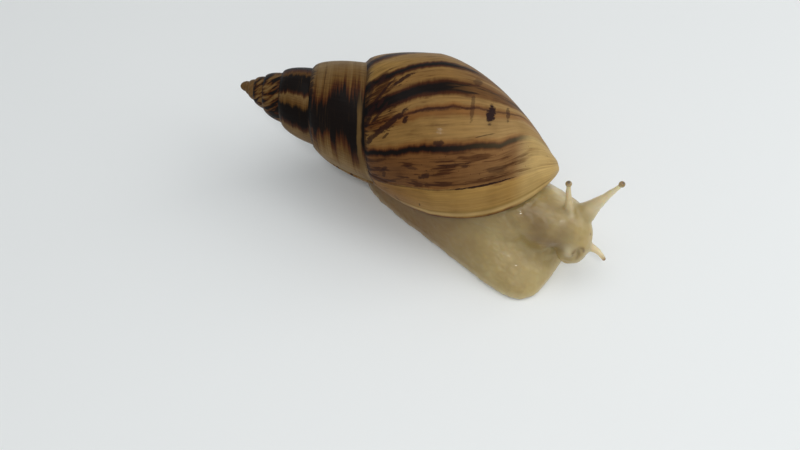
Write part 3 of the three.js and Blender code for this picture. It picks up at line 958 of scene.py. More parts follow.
# Tints that the colour is multiplied by
TINTS = {
    # paler and bluer towards the base: partly the shell's own bleaching, partly painted light
    "bleached_and_lit": (1.30, 1.42, 1.70),
    "suture side": (0.72, 0.64, 0.56),
    "crown": (0.45, 0.34, 0.26),
    "older": (1.12, 1.16, 1.0),
    "redder": (0.80, 0.72, 0.70),
    "line": (0.32, 0.22, 0.15),
    "pale line": (1.35, 1.32, 1.25),
    "broad line": (0.28, 0.18, 0.13),
    "dash": (0.14, 0.09, 0.08),
    "speck": (0.26, 0.16, 0.12),
    "spiral": (0.34, 0.24, 0.18),
    # darkens the small whorls: partly their own browner colour, partly painted shade
    "small whorls": (0.72, 0.64, 0.54),
    "dirt": (0.62, 0.58, 0.52),
    "crimp": (0.16, 0.12, 0.10),
}


def stripes(tree, turn, stops, colours):
    """Colours by growth time. One colour ramp holds few stops, so a long list runs on in the next ramp."""
    made = None
    for start in range(0, len(stops) - 1, STOPS_A_RAMP - 1):
        part = stops[start:start + STOPS_A_RAMP]
        low, high = part[0][0], part[-1][0]
        bands = [((at - low) / (high - low), colours[label]) for at, label in part]
        colour = ramp(tree, (turn - low) / (high - low), bands)
        made = colour if made is None else blend(tree, beyond(turn, low), made, colour)
    return made


def marks(turn, across, ragged):
    """How dark the stray marks make a place: each is an ellipse with a ragged edge."""
    mask = clamp(turn - 1.0)
    for at, u, long, wide, lean, strength in MARKS:
        dt, du = (turn - at - (across - u) * lean) / long, (across - u) / wide
        inside = 1.0 - step(dt * dt + du * du + ragged * 3.6, 0.5, 1.4)
        mask = maths(turn.tree, "MAXIMUM", mask, inside * strength)
    return mask


class Growth:
    """Where a place is in the shell's growth, and how far it lies in each zone, from 0 to 1."""

    def __init__(self, tree):
        self.tree = tree
        uv = tree.nodes.new("ShaderNodeUVMap")
        uv.uv_map = "growth"
        along, over, _ = parts_of(tree, uv.outputs[0])
        self.turn = turn = (along - 1.0) * TURNS
        self.across = across = over * 3.0
        self.last = last = step(turn, -1.05, -0.85)
        self.small = 1.0 - step(turn, -2.05, -1.8)
        self.near = near = clamp(1.0 - across / 0.95)  # 1 at the suture, 0 from near the widest line
        # the last whorl's growth lines lean towards the suture, the older ones more, and curl at the base
        lean = 0.026 + 0.020 * (1.0 - step(turn, -0.27, -0.17))
        curl = 0.03 * step(across, 1.45, 1.85) * (1.0 - step(turn, -0.17, -0.10))
        self.lined = lined = turn - lean * near * near * last + curl * last
        self.newest = step(lined, -0.09, -0.08)
        self.streaked = step(lined, -0.165, -0.157) * (1.0 - step(lined, -0.095, -0.088))
        self.corner = step(across, 1.62, 1.8) * step(lined, -0.20, -0.165)
        self.older = 1.0 - step(lined, -0.39, -0.35)
        self.crown = near * (1.0 - step(lined, -0.24, -0.18)) * last * (1.0 - self.older * 0.75)

    def grid(self, by_turn, by_across, seed, detail=3.0, rough=0.6):
        """Noise over the growth map, from about -0.3 to 0.3."""
        place = vector_of(self.tree, self.lined * by_turn, self.across * by_across, seed)
        return noise(self.tree, place, 1.0, detail, rough) - 0.5


class Coats:
    """A colour that is built up in coats, each over a share of the surface."""

    def __init__(self, tree, colour):
        self.tree, self.colour = tree, colour

    def paint(self, share, name):
        """Covers what is there with a colour."""
        self.colour = blend(self.tree, share, self.colour, OVER[name])

    def stain(self, share, name):
        """Multiplies by a tint, so that dark places stay dark."""
        self.colour = blend(self.tree, share, self.colour, TINTS[name], "MULTIPLY")


def flames(growth, colours):
    """The flames and their ground. Their edges are ragged along the spiral."""
    turn, across, lined, grid = growth.turn, growth.across, growth.lined, growth.grid
    old_teeth = grid(2.0, 7.0, 11.0) * 0.22 + grid(4.0, 24.0, 13.0) * 0.12
    old_teeth = old_teeth * (1.0 - growth.small * 0.75)
    notch = (1.0 - step(across, 0.36, 0.48)) * step(turn, -1.5, -1.4) * (1.0 - step(turn, -1.22, -1.14))
    patchy = clamp(grid(9.0, 2.0, 15.0) * 4.0)
    young_teeth = (grid(16.0, 11.0, 1.0) * 0.012 + grid(40.0, 46.0, 3.0) * patchy * 0.008
                   + grid(5.0, 1.7, 5.0) * 0.018)
    bent = lined + mix(old_teeth - notch * 0.05, young_teeth, growth.last)
    colour = stripes(growth.tree, bent, GROWTH, colours)
    place = vector_of(growth.tree, (lined + across * 0.10) * 26.0, across * 1.1, 21.5)
    narrow = noise(growth.tree, place, 1.0, 2.0) - 0.5
    stops = [(at, colours[label]) for at, label in TIP_STOPS]
    tip = ramp(growth.tree, narrow + 0.5 - growth.small * 0.03, stops)
    return blend(growth.tree, step(bent, -2.66, -2.60), tip, colour)


def age_whorl(growth, coats):
    """How the last whorl's ground changes from its older part to the lip, the suture and the base."""
    across, lined, last = growth.across, growth.lined, growth.last
    older, newest = growth.older, growth.newest
    # the lower part towards the base is paler: partly its own faded colour, partly painted light on the side
    # where the light falls
    faded_and_lit = step(across, 1.0, 1.7) * last
    coats.paint(faded_and_lit * 0.12, "faded_and_lit")
    # the newest growth is browner towards the suture, paler towards the lip's outer corner
    coats.paint(newest * (1.0 - step(across, 0.4, 1.3)) * 0.8, "new brown")
    coats.paint(growth.corner * 0.8, "new corner")
    # the last growth is smooth and pale, set off by a faint line
    line = step(lined, -0.026, -0.022) * (1.0 - step(lined, -0.020, -0.015))
    coats.paint(step(lined, -0.022, -0.016) * (1.0 - step(lined, -0.010, -0.006)) * 0.45, "rim")
    coats.paint(line * step(across, 0.5, 1.1) * 0.5, "rim line")
    # paler and bluer still towards the base: partly its own bleaching, partly painted light
    coats.stain(faded_and_lit * (1.0 - newest) * (1.0 - growth.corner) * 0.8, "bleached_and_lit")
    # the broad old stripes break up into streaks towards the base
    frayed = step(across, 1.0, 1.35) * (1.0 - step(lined, -0.28, -0.268)) * last
    coats.paint(frayed * step(growth.grid(90.0, 2.5, 61.0), -0.06, 0.05) * 0.8, "frayed")
    # the whole whorl is browner towards the suture, most of all its older part
    coats.stain((1.0 - step(across, 0.1, 1.1)) * last * (1.0 - older) * 0.45, "suture side")
    coats.stain(step(growth.crown + growth.grid(22.0, 3.0, 57.0), 0.45, 0.9) * 0.6, "crown")
    coats.stain(older * growth.near * last, "older")
    redder = step(lined, -0.36, -0.33) * (1.0 - step(lined, -0.29, -0.26))
    coats.stain(redder * 0.5, "redder")


def streak_last_whorl(growth, coats):
    """Thin brown and pale growth lines, densest near the suture. Gives the fine and the broad ones."""
    grid, last, crown, streaked = growth.grid, growth.last, growth.crown, growth.streaked
    smooth = clamp(growth.newest * 0.45 + growth.corner * 0.5)
    busy = clamp(0.25 + grid(8.0, 2.5, 51.0) * 2.4 + crown * 0.8 + streaked * 0.6 + (1.0 - last) * 0.1
                 - smooth * 0.5)
    fine = grid(210.0, 3.0, 31.0)
    broad = grid(75.0, 2.0, 33.0)
    coats.stain(clamp(fine * 3.4) * (0.3 + busy * 0.7) * (1.0 - smooth * 0.6), "line")
    coats.stain(clamp(0.0 - fine * 2.5), "pale line")
    coats.stain(step(broad + busy * 0.12, 0.12, 0.20) * busy * 0.9 * last, "broad line")
    dashes = grid(95.0, 6.0, 37.0) + crown * 0.13
    coats.stain(step(dashes, 0.19, 0.25) * clamp(busy + 0.2) * 0.9 * last, "dash")
    specks = step(grid(150.0, 62.0, 41.0) + streaked * 0.05, 0.19, 0.23)
    coats.stain(specks * busy * 0.85 * last, "speck")
    coats.paint(marks(growth.lined, growth.across, grid(110.0, 14.0, 71.0, 3.0, 0.65)), "mark")
    return fine, broad


def streak_small_whorls(growth, coats):
    """Spiral streaks on the small whorls, and the paler shelf along their lower suture."""
    grid, before = growth.grid, 1.0 - growth.last
    spiral = grid(4.0, 20.0, 81.0, 3.0, 0.7) * clamp(0.55 + grid(2.6, 2.4, 87.0) * 3.0)
    coats.stain(step(spiral, 0.03, 0.16) * before * 0.85, "spiral")
    coats.paint(step(0.0 - spiral, 0.04, 0.2) * before * 0.5, "pale streak")
    rung = growth.across + grid(9.0, 3.0, 85.0) * 0.10
    shelf = step(rung, 0.86, 0.885) * (1.0 - step(rung, 0.93, 0.97)) * before
    coats.paint(shelf * step(growth.turn, -1.32, -1.22) * 0.8, "shelf")
    # the small whorls are darker overall: partly their own browner colour, partly painted shade
    coats.stain(growth.small * 0.8, "small whorls")


def wear_shell(growth, coats, cloud):
    """Soft dirt, the crimped suture and the worn apex."""
    coats.stain(clamp((0.58 - cloud) * 1.6), "dirt")
    crimp = 1.0 - step(growth.across + growth.grid(80.0, 4.0, 91.0) * 0.30, 0.02, 0.09)
    coats.stain(crimp * 0.9, "crimp")
    coats.paint((1.0 - step(growth.turn, -5.2, -4.1)) * 0.7, "worn")


def shell_material(sizes):
    made, tree, shader = material_of(
        "shell", IOR=1.5, Specular_IOR_Level=0.06, Coat_Weight=0.025, Coat_Roughness=0.08)
    colours = {label: tuple(getattr(sizes, label))
               for label in ("cream", "tan", "pink", "ochre", "amber", "straw", "brown", "dark")}
    cloud, grain = mottle(tree, object_place(tree), 7.0, 0.5)
    growth = Growth(tree)
    coats = Coats(tree, flames(growth, colours))
    age_whorl(growth, coats)
    fine, broad = streak_last_whorl(growth, coats)
    streak_small_whorls(growth, coats)
    wear_shell(growth, coats, cloud)
    plug(coats.colour, shader.inputs["Base Color"])
    plug(0.34 + grain * 0.18 + clamp(fine) * 0.3, shader.inputs["Roughness"])
    bump(tree, shader, fine * 0.8 + broad * 0.5 + grain * 0.3, 0.00010, 0.6)
    return made


class SNAIL_OT_make_shell(bpy.types.Operator):
    """Rolls the shell up from its growth rule and colours its flames"""

    bl_idname = "snail.make_shell"
    bl_label = "Make Shell"

    def execute(self, context):
        sizes = context.scene.snail_shell
        piece = net_object("snail_shell", shell_net(sizes.columns, sizes.band_rows, sizes.base_rows))
        change = piece.modifiers.new("growth", "NODES")
        change.node_group = shell_tree()
        set_input(change, "Ridge", sizes.ridge)
        set_input(change, "Wave", sizes.wave)
        set_input(change, "Material", shell_material(sizes))
        settle(piece)
        face_outwards(piece.data)
        piece.data.transform(shell_place())
        to_metres(piece.data)
        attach(piece, "root")
        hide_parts("shell")
        return {"FINISHED"}


# ---- the skin --------------------------------------------------------------------------------------------
BODY_STEPS = 6  # rings from one cross section to the next
ARCH_POINTS, SOLE_POINTS = 49, 9  # points over the back and along the sole of one ring
NECK_STEPS, NECK_SIDES = 8, 64  # rings from one row to the next, and points in a ring
FEELER_STEPS, FEELER_SIDES = 8, 20
FEELER_ROOT = 3.0  # mm that a feeler reaches into the head
PLUG_DEPTH, PLUG_RINGS = 0.07, 6  # turns that the mantle reaches back behind the lip
PLUG_OUTER, PLUG_INNER = 60, 24  # points along the lip and along the whorl before
PLUG_UNDER_LIP, PLUG_UNDER_WALL = 1.1, 0.4  # mm that it lies under the lip and under the whorl before
TRUNK_VOXEL, TRUNK_ROUNDS = 0.8, 10  # mm, and rounds of evening out, before the feelers are joined on
JOINED_VOXEL, SKIN_ROUNDS = 0.45, 2  # mm before the shell is cut out, and rounds after it
SHELL_GAP = 0.12  # mm between shell and skin
SOLE_DEPTH = 0.12  # mm up to which the sole is pressed flat


def body_rings():
    """Rings of the body: an arch over the back, closed by the flat sole."""
    rings = []
    for x, right, left, height, crest, full in spline(BODY, BODY_STEPS):
        a = np.linspace(0, math.pi, ARCH_POINTS)
        out = np.sign(np.cos(a)) * np.abs(np.cos(a)) ** (2 / full)
        reach = np.where(out > 0, crest - right, left - crest)
        up = height * np.sin(a).clip(0) ** (2 / full)
        top = np.stack([np.full_like(a, x), crest - out * reach, up], -1)
        under = np.linspace(left, right, SOLE_POINTS)[1:-1]
        sole = np.stack([np.full_like(under, x), under, np.zeros_like(under)], -1)
        rings.append(np.concatenate([top, sole]))
    return rings


def feeler(name, rows, flare):
    """A feeler with a root that widens into the head by `flare` times its own width."""
    rows = np.array(rows)
    way = rows[1, :3] - rows[0, :3]
    way /= np.linalg.norm(way)
    sunk = np.append(rows[0, :3] - way * FEELER_ROOT, rows[0, 3] * (1 + flare))
    return loft(name, rings_along(np.vstack([sunk, rows]), FEELER_STEPS, FEELER_SIDES))


def mantle_plug():
    """Flesh that fills the aperture behind the lip."""

    def line(turn, across, inset):
        same = np.ones_like(across)
        return np.stack(spot(SHELL, same * turn, across, same * inset, same * 0.0), -1)

    outer, inner = np.linspace(0, 2, PLUG_OUTER), np.linspace(2, 1, PLUG_INNER)[1:-1]
    rings = [np.concatenate([line(turn, outer, PLUG_UNDER_LIP), line(turn - 1, inner, PLUG_UNDER_WALL)])
             for turn in np.linspace(-PLUG_DEPTH, 0.0, PLUG_RINGS)]
    piece = loft("mantle", rings)
    piece.data.transform(shell_place())
    return piece


class SNAIL_OT_make_skin(bpy.types.Operator):
    """Wraps foot, neck, head and feelers in one skin, cut to the shell"""

    bl_idname = "snail.make_skin"
    bl_label = "Make Skin"

    def execute(self, context):
        sizes = context.scene.snail_skin
        neck = loft("neck", rings_along(NECK, NECK_STEPS, NECK_SIDES))
        trunk = join("trunk", [loft("body", body_rings()), neck])
        remesh(trunk, TRUNK_VOXEL)
        relax(trunk.data, TRUNK_ROUNDS)
        feelers = [feeler("upper right", UPPER_RIGHT, 0.6), feeler("upper left", UPPER_LEFT, 0.5),
                   feeler("lower right", LOWER_RIGHT, 0.4), feeler("lower left", LOWER_LEFT, 0.5)]
        skin = join("snail_skin", [trunk, mantle_plug(), *feelers])
        remesh(skin, JOINED_VOXEL)
        cutter = shell_cutter(SHELL_GAP)
        cut = skin.modifiers.new("shell", "BOOLEAN")
        cut.operation = "DIFFERENCE"
        cut.solver = "MANIFOLD"
        cut.object = cutter
        settle(skin)
        drop(cutter)
        keep_largest(skin.data)
        remesh(skin, sizes.voxel)
        relax(skin.data, SKIN_ROUNDS)
        fold(skin.data)
        tint(skin.data)
        change = skin.modifiers.new("tubercles", "NODES")
        change.node_group = skin_tree()
        for label, value in (("Cell", sizes.cell), ("Relief", sizes.relief), ("Frill", sizes.frill),
                             ("Material", skin_material(sizes))):
            set_input(change, label, value)
        settle(skin)
        flatten_sole(skin.data)
        to_metres(skin.data)
        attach(skin, "root")
        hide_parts(*FLESH_NODES)
        return {"FINISHED"}


def keep_largest(mesh):
    """Deletes all but the largest closed part of a mesh."""
    bm = bmesh.new()
    bm.from_mesh(mesh)
    left = set(bm.verts)
    parts = []
    while left:
        part, edge = set(), [left.pop()]
        while edge:
            v = edge.pop()
            part.add(v)
            for e in v.link_edges:
                other = e.other_vert(v)
                if other in left:
                    left.remove(other)
                    edge.append(other)
        parts.append(part)
    parts.sort(key=len)
    for part in parts[:-1]:
        bmesh.ops.delete(bm, geom=list(part), context="VERTS")
    bm.to_mesh(mesh)
    bm.free()


def flatten_sole(mesh):
    """Presses the lowest points onto the floor."""
    points = points_of(mesh)
    points[points[:, 2] < SOLE_DEPTH, 2] = 0.0
    set_points(mesh, points)


TUBERCLE_STRETCH = (0.62, 1.0, 0.9)  # below 1 makes the tubercles longer that way

# Folds pressed into the skin: path, half width and height in mm, grooves below zero
FOLDS = [
    # between neck and foot, from under the lip to the chin
    (((18.0, -13.0, 24.5), (22.3, -11.6, 23.7), (27.2, -12.2, 20.8), (29.7, -11.7, 17.1),
      (32.4, -12.1, 11.6), (35.4, -12.0, 9.8), (38.3, -7.4, 7.9), (39.4, -3.5, 6.4)), 1.7, -0.5),
    (((24.0, -15.6, 18.0), (29.0, -15.4, 13.2), (33.5, -15.2, 9.6), (36.8, -12.4, 8.0), (39.0, -7.0, 6.4)),
     2.0, 0.25),
    # the mouth with its lips
    (((45.9, -3.9, 19.6), (46.4, -4.0, 18.2), (46.8, -4.1, 16.6), (46.9, -4.6, 14.8)), 0.42, -1.0),
    (((46.2, -2.6, 20.0), (47.2, -2.4, 18.2), (47.3, -2.6, 16.2), (46.9, -3.4, 14.2)), 0.8, 0.35),
    (((45.2, -5.2, 19.6), (45.5, -5.6, 17.8), (45.6, -5.8, 16.0), (45.8, -5.8, 14.4)), 0.8, 0.35),
    # brow, from between the upper feelers to the mouth
    (((38.6, 1.6, 27.0), (41.6, -0.2, 25.2), (44.2, -1.8, 22.4), (45.6, -2.8, 20.4)), 0.7, -0.3),
    # folds round the neck
    (((30.2, -11.6, 17.0), (31.0, -9.6, 22.8), (31.6, -4.6, 26.2), (32.0, 1.4, 27.2), (31.8, 6.4, 25.6)),
     0.7, -0.14),
    (((26.2, -12.6, 20.6), (26.6, -8.6, 25.0), (27.0, -3.4, 27.2), (27.4, 2.4, 27.4)), 0.7, -0.12),
    (((34.2, -9.9, 17.2), (35.0, -8.4, 22.6), (35.6, -4.0, 25.8)), 0.7, -0.12),
    (((38.0, -8.3, 16.4), (39.0, -7.4, 21.0), (40.0, -3.6, 24.6)), 0.7, -0.10),
    (((42.6, -6.4, 14.0), (43.8, -6.8, 13.0), (45.4, -5.6, 12.6)), 0.5, -0.35),
]
# Organs seen through the thin skin: x, y, z, radius in mm, strength
ORGANS = [(28.8, -7.4, 25.5, 5.0, 0.7), (33.0, -8.4, 24.0, 5.0, 0.8), (31.4, -1.7, 27.3, 4.0, 0.4),
          (39.8, -6.0, 23.4, 4.5, 0.55), (38.7, -7.9, 18.8, 5.6, 0.85), (34.6, -9.6, 20.6, 5.4, 0.8),
          (40.5, -1.8, 26.1, 3.5, 0.25), (24.0, -12.0, 22.6, 4.0, 0.35)]
# The lower left feeler's tip and small marks round the mouth, in the same way
DARK_MARKS = [(46.3, 2.2, 21.3, 0.42, 0.9), (53.2, 2.9, 12.2, 1.25, 1.0), (52.0, 2.8, 13.4, 0.6, 0.3),
              (47.4, -2.4, 19.0, 0.45, 0.8), (45.4, -5.4, 16.6, 0.4, 0.7), (46.9, -4.6, 14.8, 0.5, 0.7)]
# Brown lines round the mouth: path, half width in mm, strength
DARK_PATHS = [
    (((45.4, -5.4, 17.6), (45.7, -4.6, 18.8), (46.4, -3.6, 19.6), (47.1, -2.6, 19.2), (47.5, -2.4, 17.8)),
     0.5, 0.75),
    (((46.2, -4.0, 18.6), (46.8, -4.0, 16.8), (46.9, -4.6, 14.8)), 0.5, 0.9),
]
# Thin pale flesh along the feelers and at the nape, in the same way
PALE_PATHS = [
    (((36.2, -0.8, 41.3), (36.9, 0.3, 33.0), (37.3, 0.9, 29.6)), 2.0, 0.55),
    (((38.4, 0.2, 31.0), (39.4, 0.3, 27.4)), 1.1, 0.45),
    (((48.6, 8.5, 42.8), (44.8, 8.0, 33.2), (42.6, 7.2, 27.6)), 3.0, 0.8),
    (((47.6, 2.4, 14.8), (51.0, 3.1, 13.3), (53.0, 3.2, 11.7)), 2.0, 0.7),
    (((43.6, -5.2, 18.6), (44.0, -6.8, 17.2)), 1.8, 0.3),
    (((28.4, 7.0, 25.6), (31.0, 5.6, 26.0), (34.2, 4.0, 26.4)), 3.0, 0.38),
]


def fold(mesh):
    """Presses the folds into the skin. Each fades out at its ends."""
    points, normals = points_of(mesh), normals_of(mesh)
    push = np.zeros(len(points))
    for path, width, height in FOLDS:
        far, along = path_distance(points, path)
        ends = np.sin(math.pi * np.clip(along, 0.03, 0.97)) ** 0.5
        push += height * np.exp(-(far / width) ** 2) * ends
    set_points(mesh, points + normals * push[:, None])
    relax(mesh, 1)


def tint(mesh):
    """Stores how far each point of the skin shows organs, marks, thin pale flesh and the foot's rim."""
    points, normals = points_of(mesh), normals_of(mesh)

    def strongest(rows):
        """The strongest of several soft spots and lines at each point: how far, half width, strength."""
        return np.max([strength * np.exp(-(far / width) ** 2) for far, width, strength in rows], axis=0)

    def spots(rows):
        return strongest((np.linalg.norm(points - (x, y, z), axis=1), *rest) for x, y, z, *rest in rows)

    def lines(rows):
        return strongest((path_distance(points, path)[0], *rest) for path, *rest in rows)

    thin = lines(PALE_PATHS)
    x, _, z = points.T
    rim = (1 - step(z, 0.6, 4.0)) * step(normals[:, 2], -0.6, -0.1)
    values = {
        "organs": spots(ORGANS),
        "marks": np.maximum(spots(DARK_MARKS), lines(DARK_PATHS)),
        "thin": np.maximum(thin, rim * 0.28),
        "rim": rim,
        "calm": np.maximum(step(x, 34.0, 42.0) * 0.8, thin),  # where the tubercles are faint
        # how far to the front: behind it the flesh is browner and darker, partly its own colour, partly
        # painted shade
        "front": step(x, -6.0, 32.0),
    }
    for name, value in values.items():
        store(mesh, name, value)


def tubercles(tree, place, cell):
    """Distance from the grooves between the skin's tubercles, in shares of their size."""
    cells = tree.nodes.new("ShaderNodeTexVoronoi")
    cells.feature = "DISTANCE_TO_EDGE"
    plug(vector_maths(tree, "MULTIPLY", place, TUBERCLE_STRETCH), cells.inputs["Vector"])
    plug(1.0 / cell, cells.inputs["Scale"])
    return Field(cells.outputs["Distance"])


def named(tree, name):
    """A number that `store` put on the mesh, read in Geometry Nodes."""
    node = tree.nodes.new("GeometryNodeInputNamedAttribute")
    node.data_type = "FLOAT"
    node.inputs["Name"].default_value = name
    return Field(node.outputs[0])


def along_normal(tree, geometry, height):
    """Moves every point along its normal."""
    push = vector_maths(tree, "SCALE", tree.nodes.new("GeometryNodeInputNormal").outputs[0], height)
    move = tree.nodes.new("GeometryNodeSetPosition")
    tree.links.new(geometry, move.inputs["Geometry"])
    tree.links.new(push, move.inputs["Offset"])
    return move.outputs[0]


def skin_tree():
    """Geometry Nodes that raise the tubercles and wave the rim of the foot."""
    inputs = [("NodeSocketGeometry", "Skin", None), ("NodeSocketFloat", "Cell", 1.9),
              ("NodeSocketFloat", "Relief", 0.09), ("NodeSocketFloat", "Frill", 0.7),
              ("NodeSocketFloat", "Seed", 2.0), ("NodeSocketMaterial", "Material", None)]
    tree, start, end = node_tree(
        "skin relief", "GeometryNodeTree", inputs, [("NodeSocketGeometry", "Skin")])
    cell, relief, frill, seed = (
        Field(start.outputs[label]) for label in ("Cell", "Relief", "Frill", "Seed"))
    place = tree.nodes.new("GeometryNodeInputPosition").outputs[0]
    x, y, z = parts_of(tree, place)
    groove = 1.0 - step(tubercles(tree, place, cell), 0.0, 0.42)
    lumps = noise(tree, vector_of(tree, x * 0.16, y * 0.22, z * 0.22 + seed), 1.0, 2.0) - 0.5
    waves = noise(tree, vector_of(tree, x * 0.42, y * 0.42, z * 0.05 + seed), 1.0, 2.0) - 0.5
    rim = named(tree, "rim")
    height = frill * waves * rim + lumps * 0.7 - relief * groove * (1.0 - 0.75 * named(tree, "calm"))
    finish_tree(tree, start, end, along_normal(tree, start.outputs["Skin"], height))
    return tree


# Colours that vary the flesh
FLESH_PALE, FLESH_DULL = srgb(182, 163, 110), srgb(152, 131, 80)
# the tail's colour is partly the flesh's own browner tone, partly painted shade towards the tail
TAIL_BROWN_AND_SHADE, GROOVE_BROWN = srgb(120, 89, 40), srgb(138, 112, 68)


def skin_material(sizes):
    made, tree, shader = material_of(
        "wet skin", IOR=1.4, Subsurface_Weight=0.65, Subsurface_Scale=0.0045, Coat_Weight=0.38,
        Coat_Roughness=0.04)
    shader.inputs["Subsurface Radius"].default_value = (1.0, 0.62, 0.3)
    place = object_place(tree)
    cloud, grain = mottle(tree, place, 6.0, 0.8)
    thin = attribute(tree, "thin")
    colour = blend(tree, clamp(cloud * 2.4 - 0.9), tuple(sizes.flesh), FLESH_PALE)
    colour = blend(tree, clamp((0.46 - cloud) * 2.2), colour, FLESH_DULL)
    # browner and darker towards the tail: partly the flesh's own colour, partly painted shade
    colour = blend(tree, attribute(tree, "front"), TAIL_BROWN_AND_SHADE, colour)
    colour = blend(tree, attribute(tree, "organs"), colour, tuple(sizes.deep))
    colour = blend(tree, thin, colour, tuple(sizes.pale))
    groove = 1.0 - step(tubercles(tree, place, sizes.cell), 0.0, 0.40)
    calm = attribute(tree, "calm")
    colour = blend(tree, groove * 0.16 * (1.0 - calm), colour, GROOVE_BROWN)
    colour = blend(tree, attribute(tree, "marks"), colour, tuple(sizes.mouth))
    plug(colour, shader.inputs["Base Color"])
    plug(0.34 + grain * 0.2, shader.inputs["Roughness"])
    bump(tree, shader, grain * 0.6 - groove * 0.4, 0.00012, 0.4)
    _, ripple = mottle(tree, place, 3.0, 1.6)
    bump(tree, shader, ripple, 0.0004, 0.4, "Coat Normal")
    return made


# ---- the eyes --------------------------------------------------------------------------------------------
EYE_OUT = 0.2  # mm from the end of the feeler's centre line out to the eye's middle
EYE_SIDES, EYE_ROWS = 48, 32


def ball(radius, sides, rows):
    """Points and faces of a ball: its top, the rings down from it and its bottom."""
    points = [(0.0, 0.0, radius)]
    for row in range(1, rows):
        down = math.pi * row / rows
        points += [(radius * math.sin(down) * math.cos(TAU * k / sides),
                    radius * math.sin(down) * math.sin(TAU * k / sides), radius * math.cos(down))
                   for k in range(sides)]
    points.append((0.0, 0.0, -radius))
    end = len(points) - 1
    faces = []
    for k in range(sides):
        n = (k + 1) % sides
        faces.append((0, 1 + k, 1 + n))
        faces += [(at + k, at + sides + k, at + sides + n, at + n) for at in range(1, end - sides, sides)]
        faces.append((end, end - sides + n, end - sides + k))
    return points, faces


def eye_material(sizes):
    made, tree, shader = material_of("eye", IOR=1.42, Subsurface_Weight=0.3, Subsurface_Scale=0.0006,
                                     Coat_Weight=0.5, Coat_Roughness=0.08)
    cloud, grain = mottle(tree, object_place(tree), 0.5, 0.15)
    end = attribute(tree, "end") + (cloud - 0.5) * 0.25
    colour = blend(tree, step(end, 0.1, 0.7), tuple(sizes.skin), tuple(sizes.amber))
    colour = blend(tree, step(end, 0.82, 0.96), colour, tuple(sizes.retina))
    plug(colour, shader.inputs["Base Color"])
    plug(0.2 + grain * 0.1, shader.inputs["Roughness"])
    bump(tree, shader, grain, 0.00003, 0.3)
    return made


class SNAIL_OT_make_eyes(bpy.types.Operator):
    """Sets an eye on the tip of each upper feeler"""

    bl_idname = "snail.make_eyes"
    bl_label = "Make Eyes"

    def execute(self, context):
        sizes = context.scene.snail_eyes
        look = eye_material(sizes)
        for side, rows in (("right", UPPER_RIGHT), ("left", UPPER_LEFT)):
            tip, before = Vector(rows[-1][:3]), Vector(rows[-2][:3])
            out = (tip - before).normalized()
            piece = new_object("snail_eye_" + side, *ball(sizes.radius, EYE_SIDES, EYE_ROWS))
            turn = out.to_track_quat("Z", "Y").to_matrix().to_4x4()
            piece.data.transform(Matrix.Translation(tip + out * EYE_OUT) @ turn)
            store(piece.data, "end", normals_of(piece.data) @ np.array(out))
            to_metres(piece.data)
            piece.data.materials.append(look)
            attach(piece, "root")
            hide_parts("eye_" + side)
        return {"FINISHED"}


# ---- the stage -------------------------------------------------------------------------------------------
def show_backdrop(tree, near, output, share, colour):
    """Shows a plain colour instead of the shader `near`, by a share, to camera and mirrored rays alone."""
    path = tree.nodes.new("ShaderNodeLightPath")
    camera, glossy, through = (Field(path.outputs[label]) for label in
                               ("Is Camera Ray", "Is Glossy Ray", "Is Transmission Ray"))
    glow = tree.nodes.new("ShaderNodeEmission")
    glow.inputs["Color"].default_value = (*colour, 1.0)
    both = tree.nodes.new("ShaderNodeMixShader")
    plug(clamp(camera + glossy + through) * share, both.inputs[0])
    tree.links.new(near, both.inputs[1])
    tree.links.new(glow.outputs[0], both.inputs[2])
    tree.links.new(both.outputs[0], output)


FLOOR_REACH = 3.0  # metres from the origin
FAR_FLOOR = (380.0, 1000.0)  # mm from the origin between which the floor turns into the backdrop
FLOOR_SHADE = (0.9, 0.9, 0.9)  # what the floor's faint clouds lean to
SKY, SKY_STRENGTH = (0.95, 0.98, 1.0, 1.0), 0.24
# Lamps: name, place from the middle of the snail and width in metres, power in watts
LAMPS = (
    ("back window", (0.45, 0.45, 0.55), 0.75, 3.2),
    ("top", (-0.1, -0.05, 0.9), 0.7, 2.2),
    ("front fill", (0.6, -0.45, 0.45), 0.9, 1.2),
    ("spark", (0.30, -0.40, 0.75), 0.10, 1.4),
)


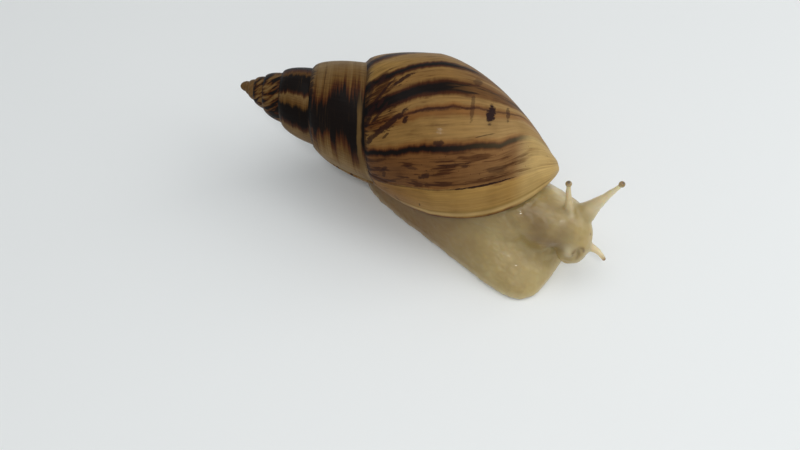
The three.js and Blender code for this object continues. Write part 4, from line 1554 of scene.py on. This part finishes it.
class SNAIL_OT_make_stage(bpy.types.Operator):
    """Lays the floor and sets the lamps, the sky and the camera"""

    bl_idname = "snail.make_stage"
    bl_label = "Make Stage"

    def execute(self, context):
        scene = context.scene
        sizes = scene.snail_stage
        corners = [(x * FLOOR_REACH, y * FLOOR_REACH, 0) for x, y in ((-1, -1), (1, -1), (1, 1), (-1, 1))]
        floor = new_object("floor", corners, [(0, 1, 2, 3)])
        made, tree, shader = material_of("floor", Roughness=0.6)
        cloud, _ = mottle(tree, object_place(tree), 120.0, 2.0)
        plug(blend(tree, cloud * 0.12, tuple(sizes.floor), FLOOR_SHADE), shader.inputs["Base Color"])
        far = step(Field(vector_maths(tree, "LENGTH", object_place(tree))), *FAR_FLOOR)
        surface = tree.nodes["Material Output"].inputs["Surface"]
        show_backdrop(tree, shader.outputs[0], surface, far, sizes.backdrop)
        floor.data.materials.append(made)

        world = bpy.data.worlds.new("studio")
        scene.world = world
        world.use_nodes = True
        dome = world.node_tree
        sky = dome.nodes["Background"]
        sky.inputs["Color"].default_value = SKY
        sky.inputs["Strength"].default_value = SKY_STRENGTH
        surface = dome.nodes["World Output"].inputs["Surface"]
        show_backdrop(dome, sky.outputs[0], surface, 1.0, sizes.backdrop)
        middle = Vector((CAD_BOX[0] + CAD_BOX[1]) / 2)
        for name, at, width, power in LAMPS:
            light = bpy.data.lights.new(name, "AREA")
            light.shape = "SQUARE"
            light.size = width
            light.energy = power
            lamp = bpy.data.objects.new(name, light)
            lamp.location = middle + Vector(at)
            lamp.rotation_euler = (middle - lamp.location).to_track_quat("-Z", "Y").to_euler()
            scene.collection.objects.link(lamp)

        a, e = math.radians(sizes.azimuth), math.radians(sizes.elevation)
        back = Vector((math.sin(a) * math.cos(e), -math.cos(a) * math.cos(e), math.sin(e)))
        lens = bpy.data.cameras.new("camera")
        lens.sensor_width = 36.0
        lens.lens = lens.sensor_width / 2 / math.tan(math.radians(sizes.field) / 2)
        lens.clip_start, lens.clip_end = 0.01, 20.0
        camera = bpy.data.objects.new("camera", lens)
        camera.location = Vector(sizes.target) + back * sizes.distance
        camera.rotation_euler = back.to_track_quat("Z", "Y").to_euler()
        scene.collection.objects.link(camera)
        scene.camera = camera
        scene.view_settings.view_transform = "Standard"
        return {"FINISHED"}


# ---- panel, registering and the run ----------------------------------------------------------------------
class SNAIL_PT_panel(bpy.types.Panel):
    bl_label = "Snail"
    bl_idname = "SNAIL_PT_panel"
    bl_space_type = "VIEW_3D"
    bl_region_type = "UI"
    bl_category = "Snail"

    def draw(self, context):
        scene = context.scene
        for title, group, operator in (
            ("Shell", scene.snail_shell, "snail.make_shell"),
            ("Skin", scene.snail_skin, "snail.make_skin"),
            ("Eyes", scene.snail_eyes, "snail.make_eyes"),
            ("Stage", scene.snail_stage, "snail.make_stage"),
        ):
            box = self.layout.box()
            box.label(text=title)
            for name in group.__annotations__:
                box.prop(group, name)
            box.operator(operator)


GROUPS = {
    "snail_shell": ShellSizes, "snail_skin": SkinSizes, "snail_eyes": EyeSizes, "snail_stage": StageSizes,
}
CLASSES = (
    *GROUPS.values(), SNAIL_OT_make_shell, SNAIL_OT_make_skin, SNAIL_OT_make_eyes, SNAIL_OT_make_stage,
    SNAIL_PT_panel,
)


def register():
    for made in CLASSES:
        bpy.utils.register_class(made)
    for name, group in GROUPS.items():
        setattr(bpy.types.Scene, name, bpy.props.PointerProperty(type=group))


def unregister():
    for name in GROUPS:
        delattr(bpy.types.Scene, name)
    for made in reversed(CLASSES):
        bpy.utils.unregister_class(made)


def main():
    register()
    bpy.ops.snail.make_stage()
    bpy.ops.snail.make_shell()
    bpy.ops.snail.make_skin()
    bpy.ops.snail.make_eyes()


if __name__ == "__main__":
    main()
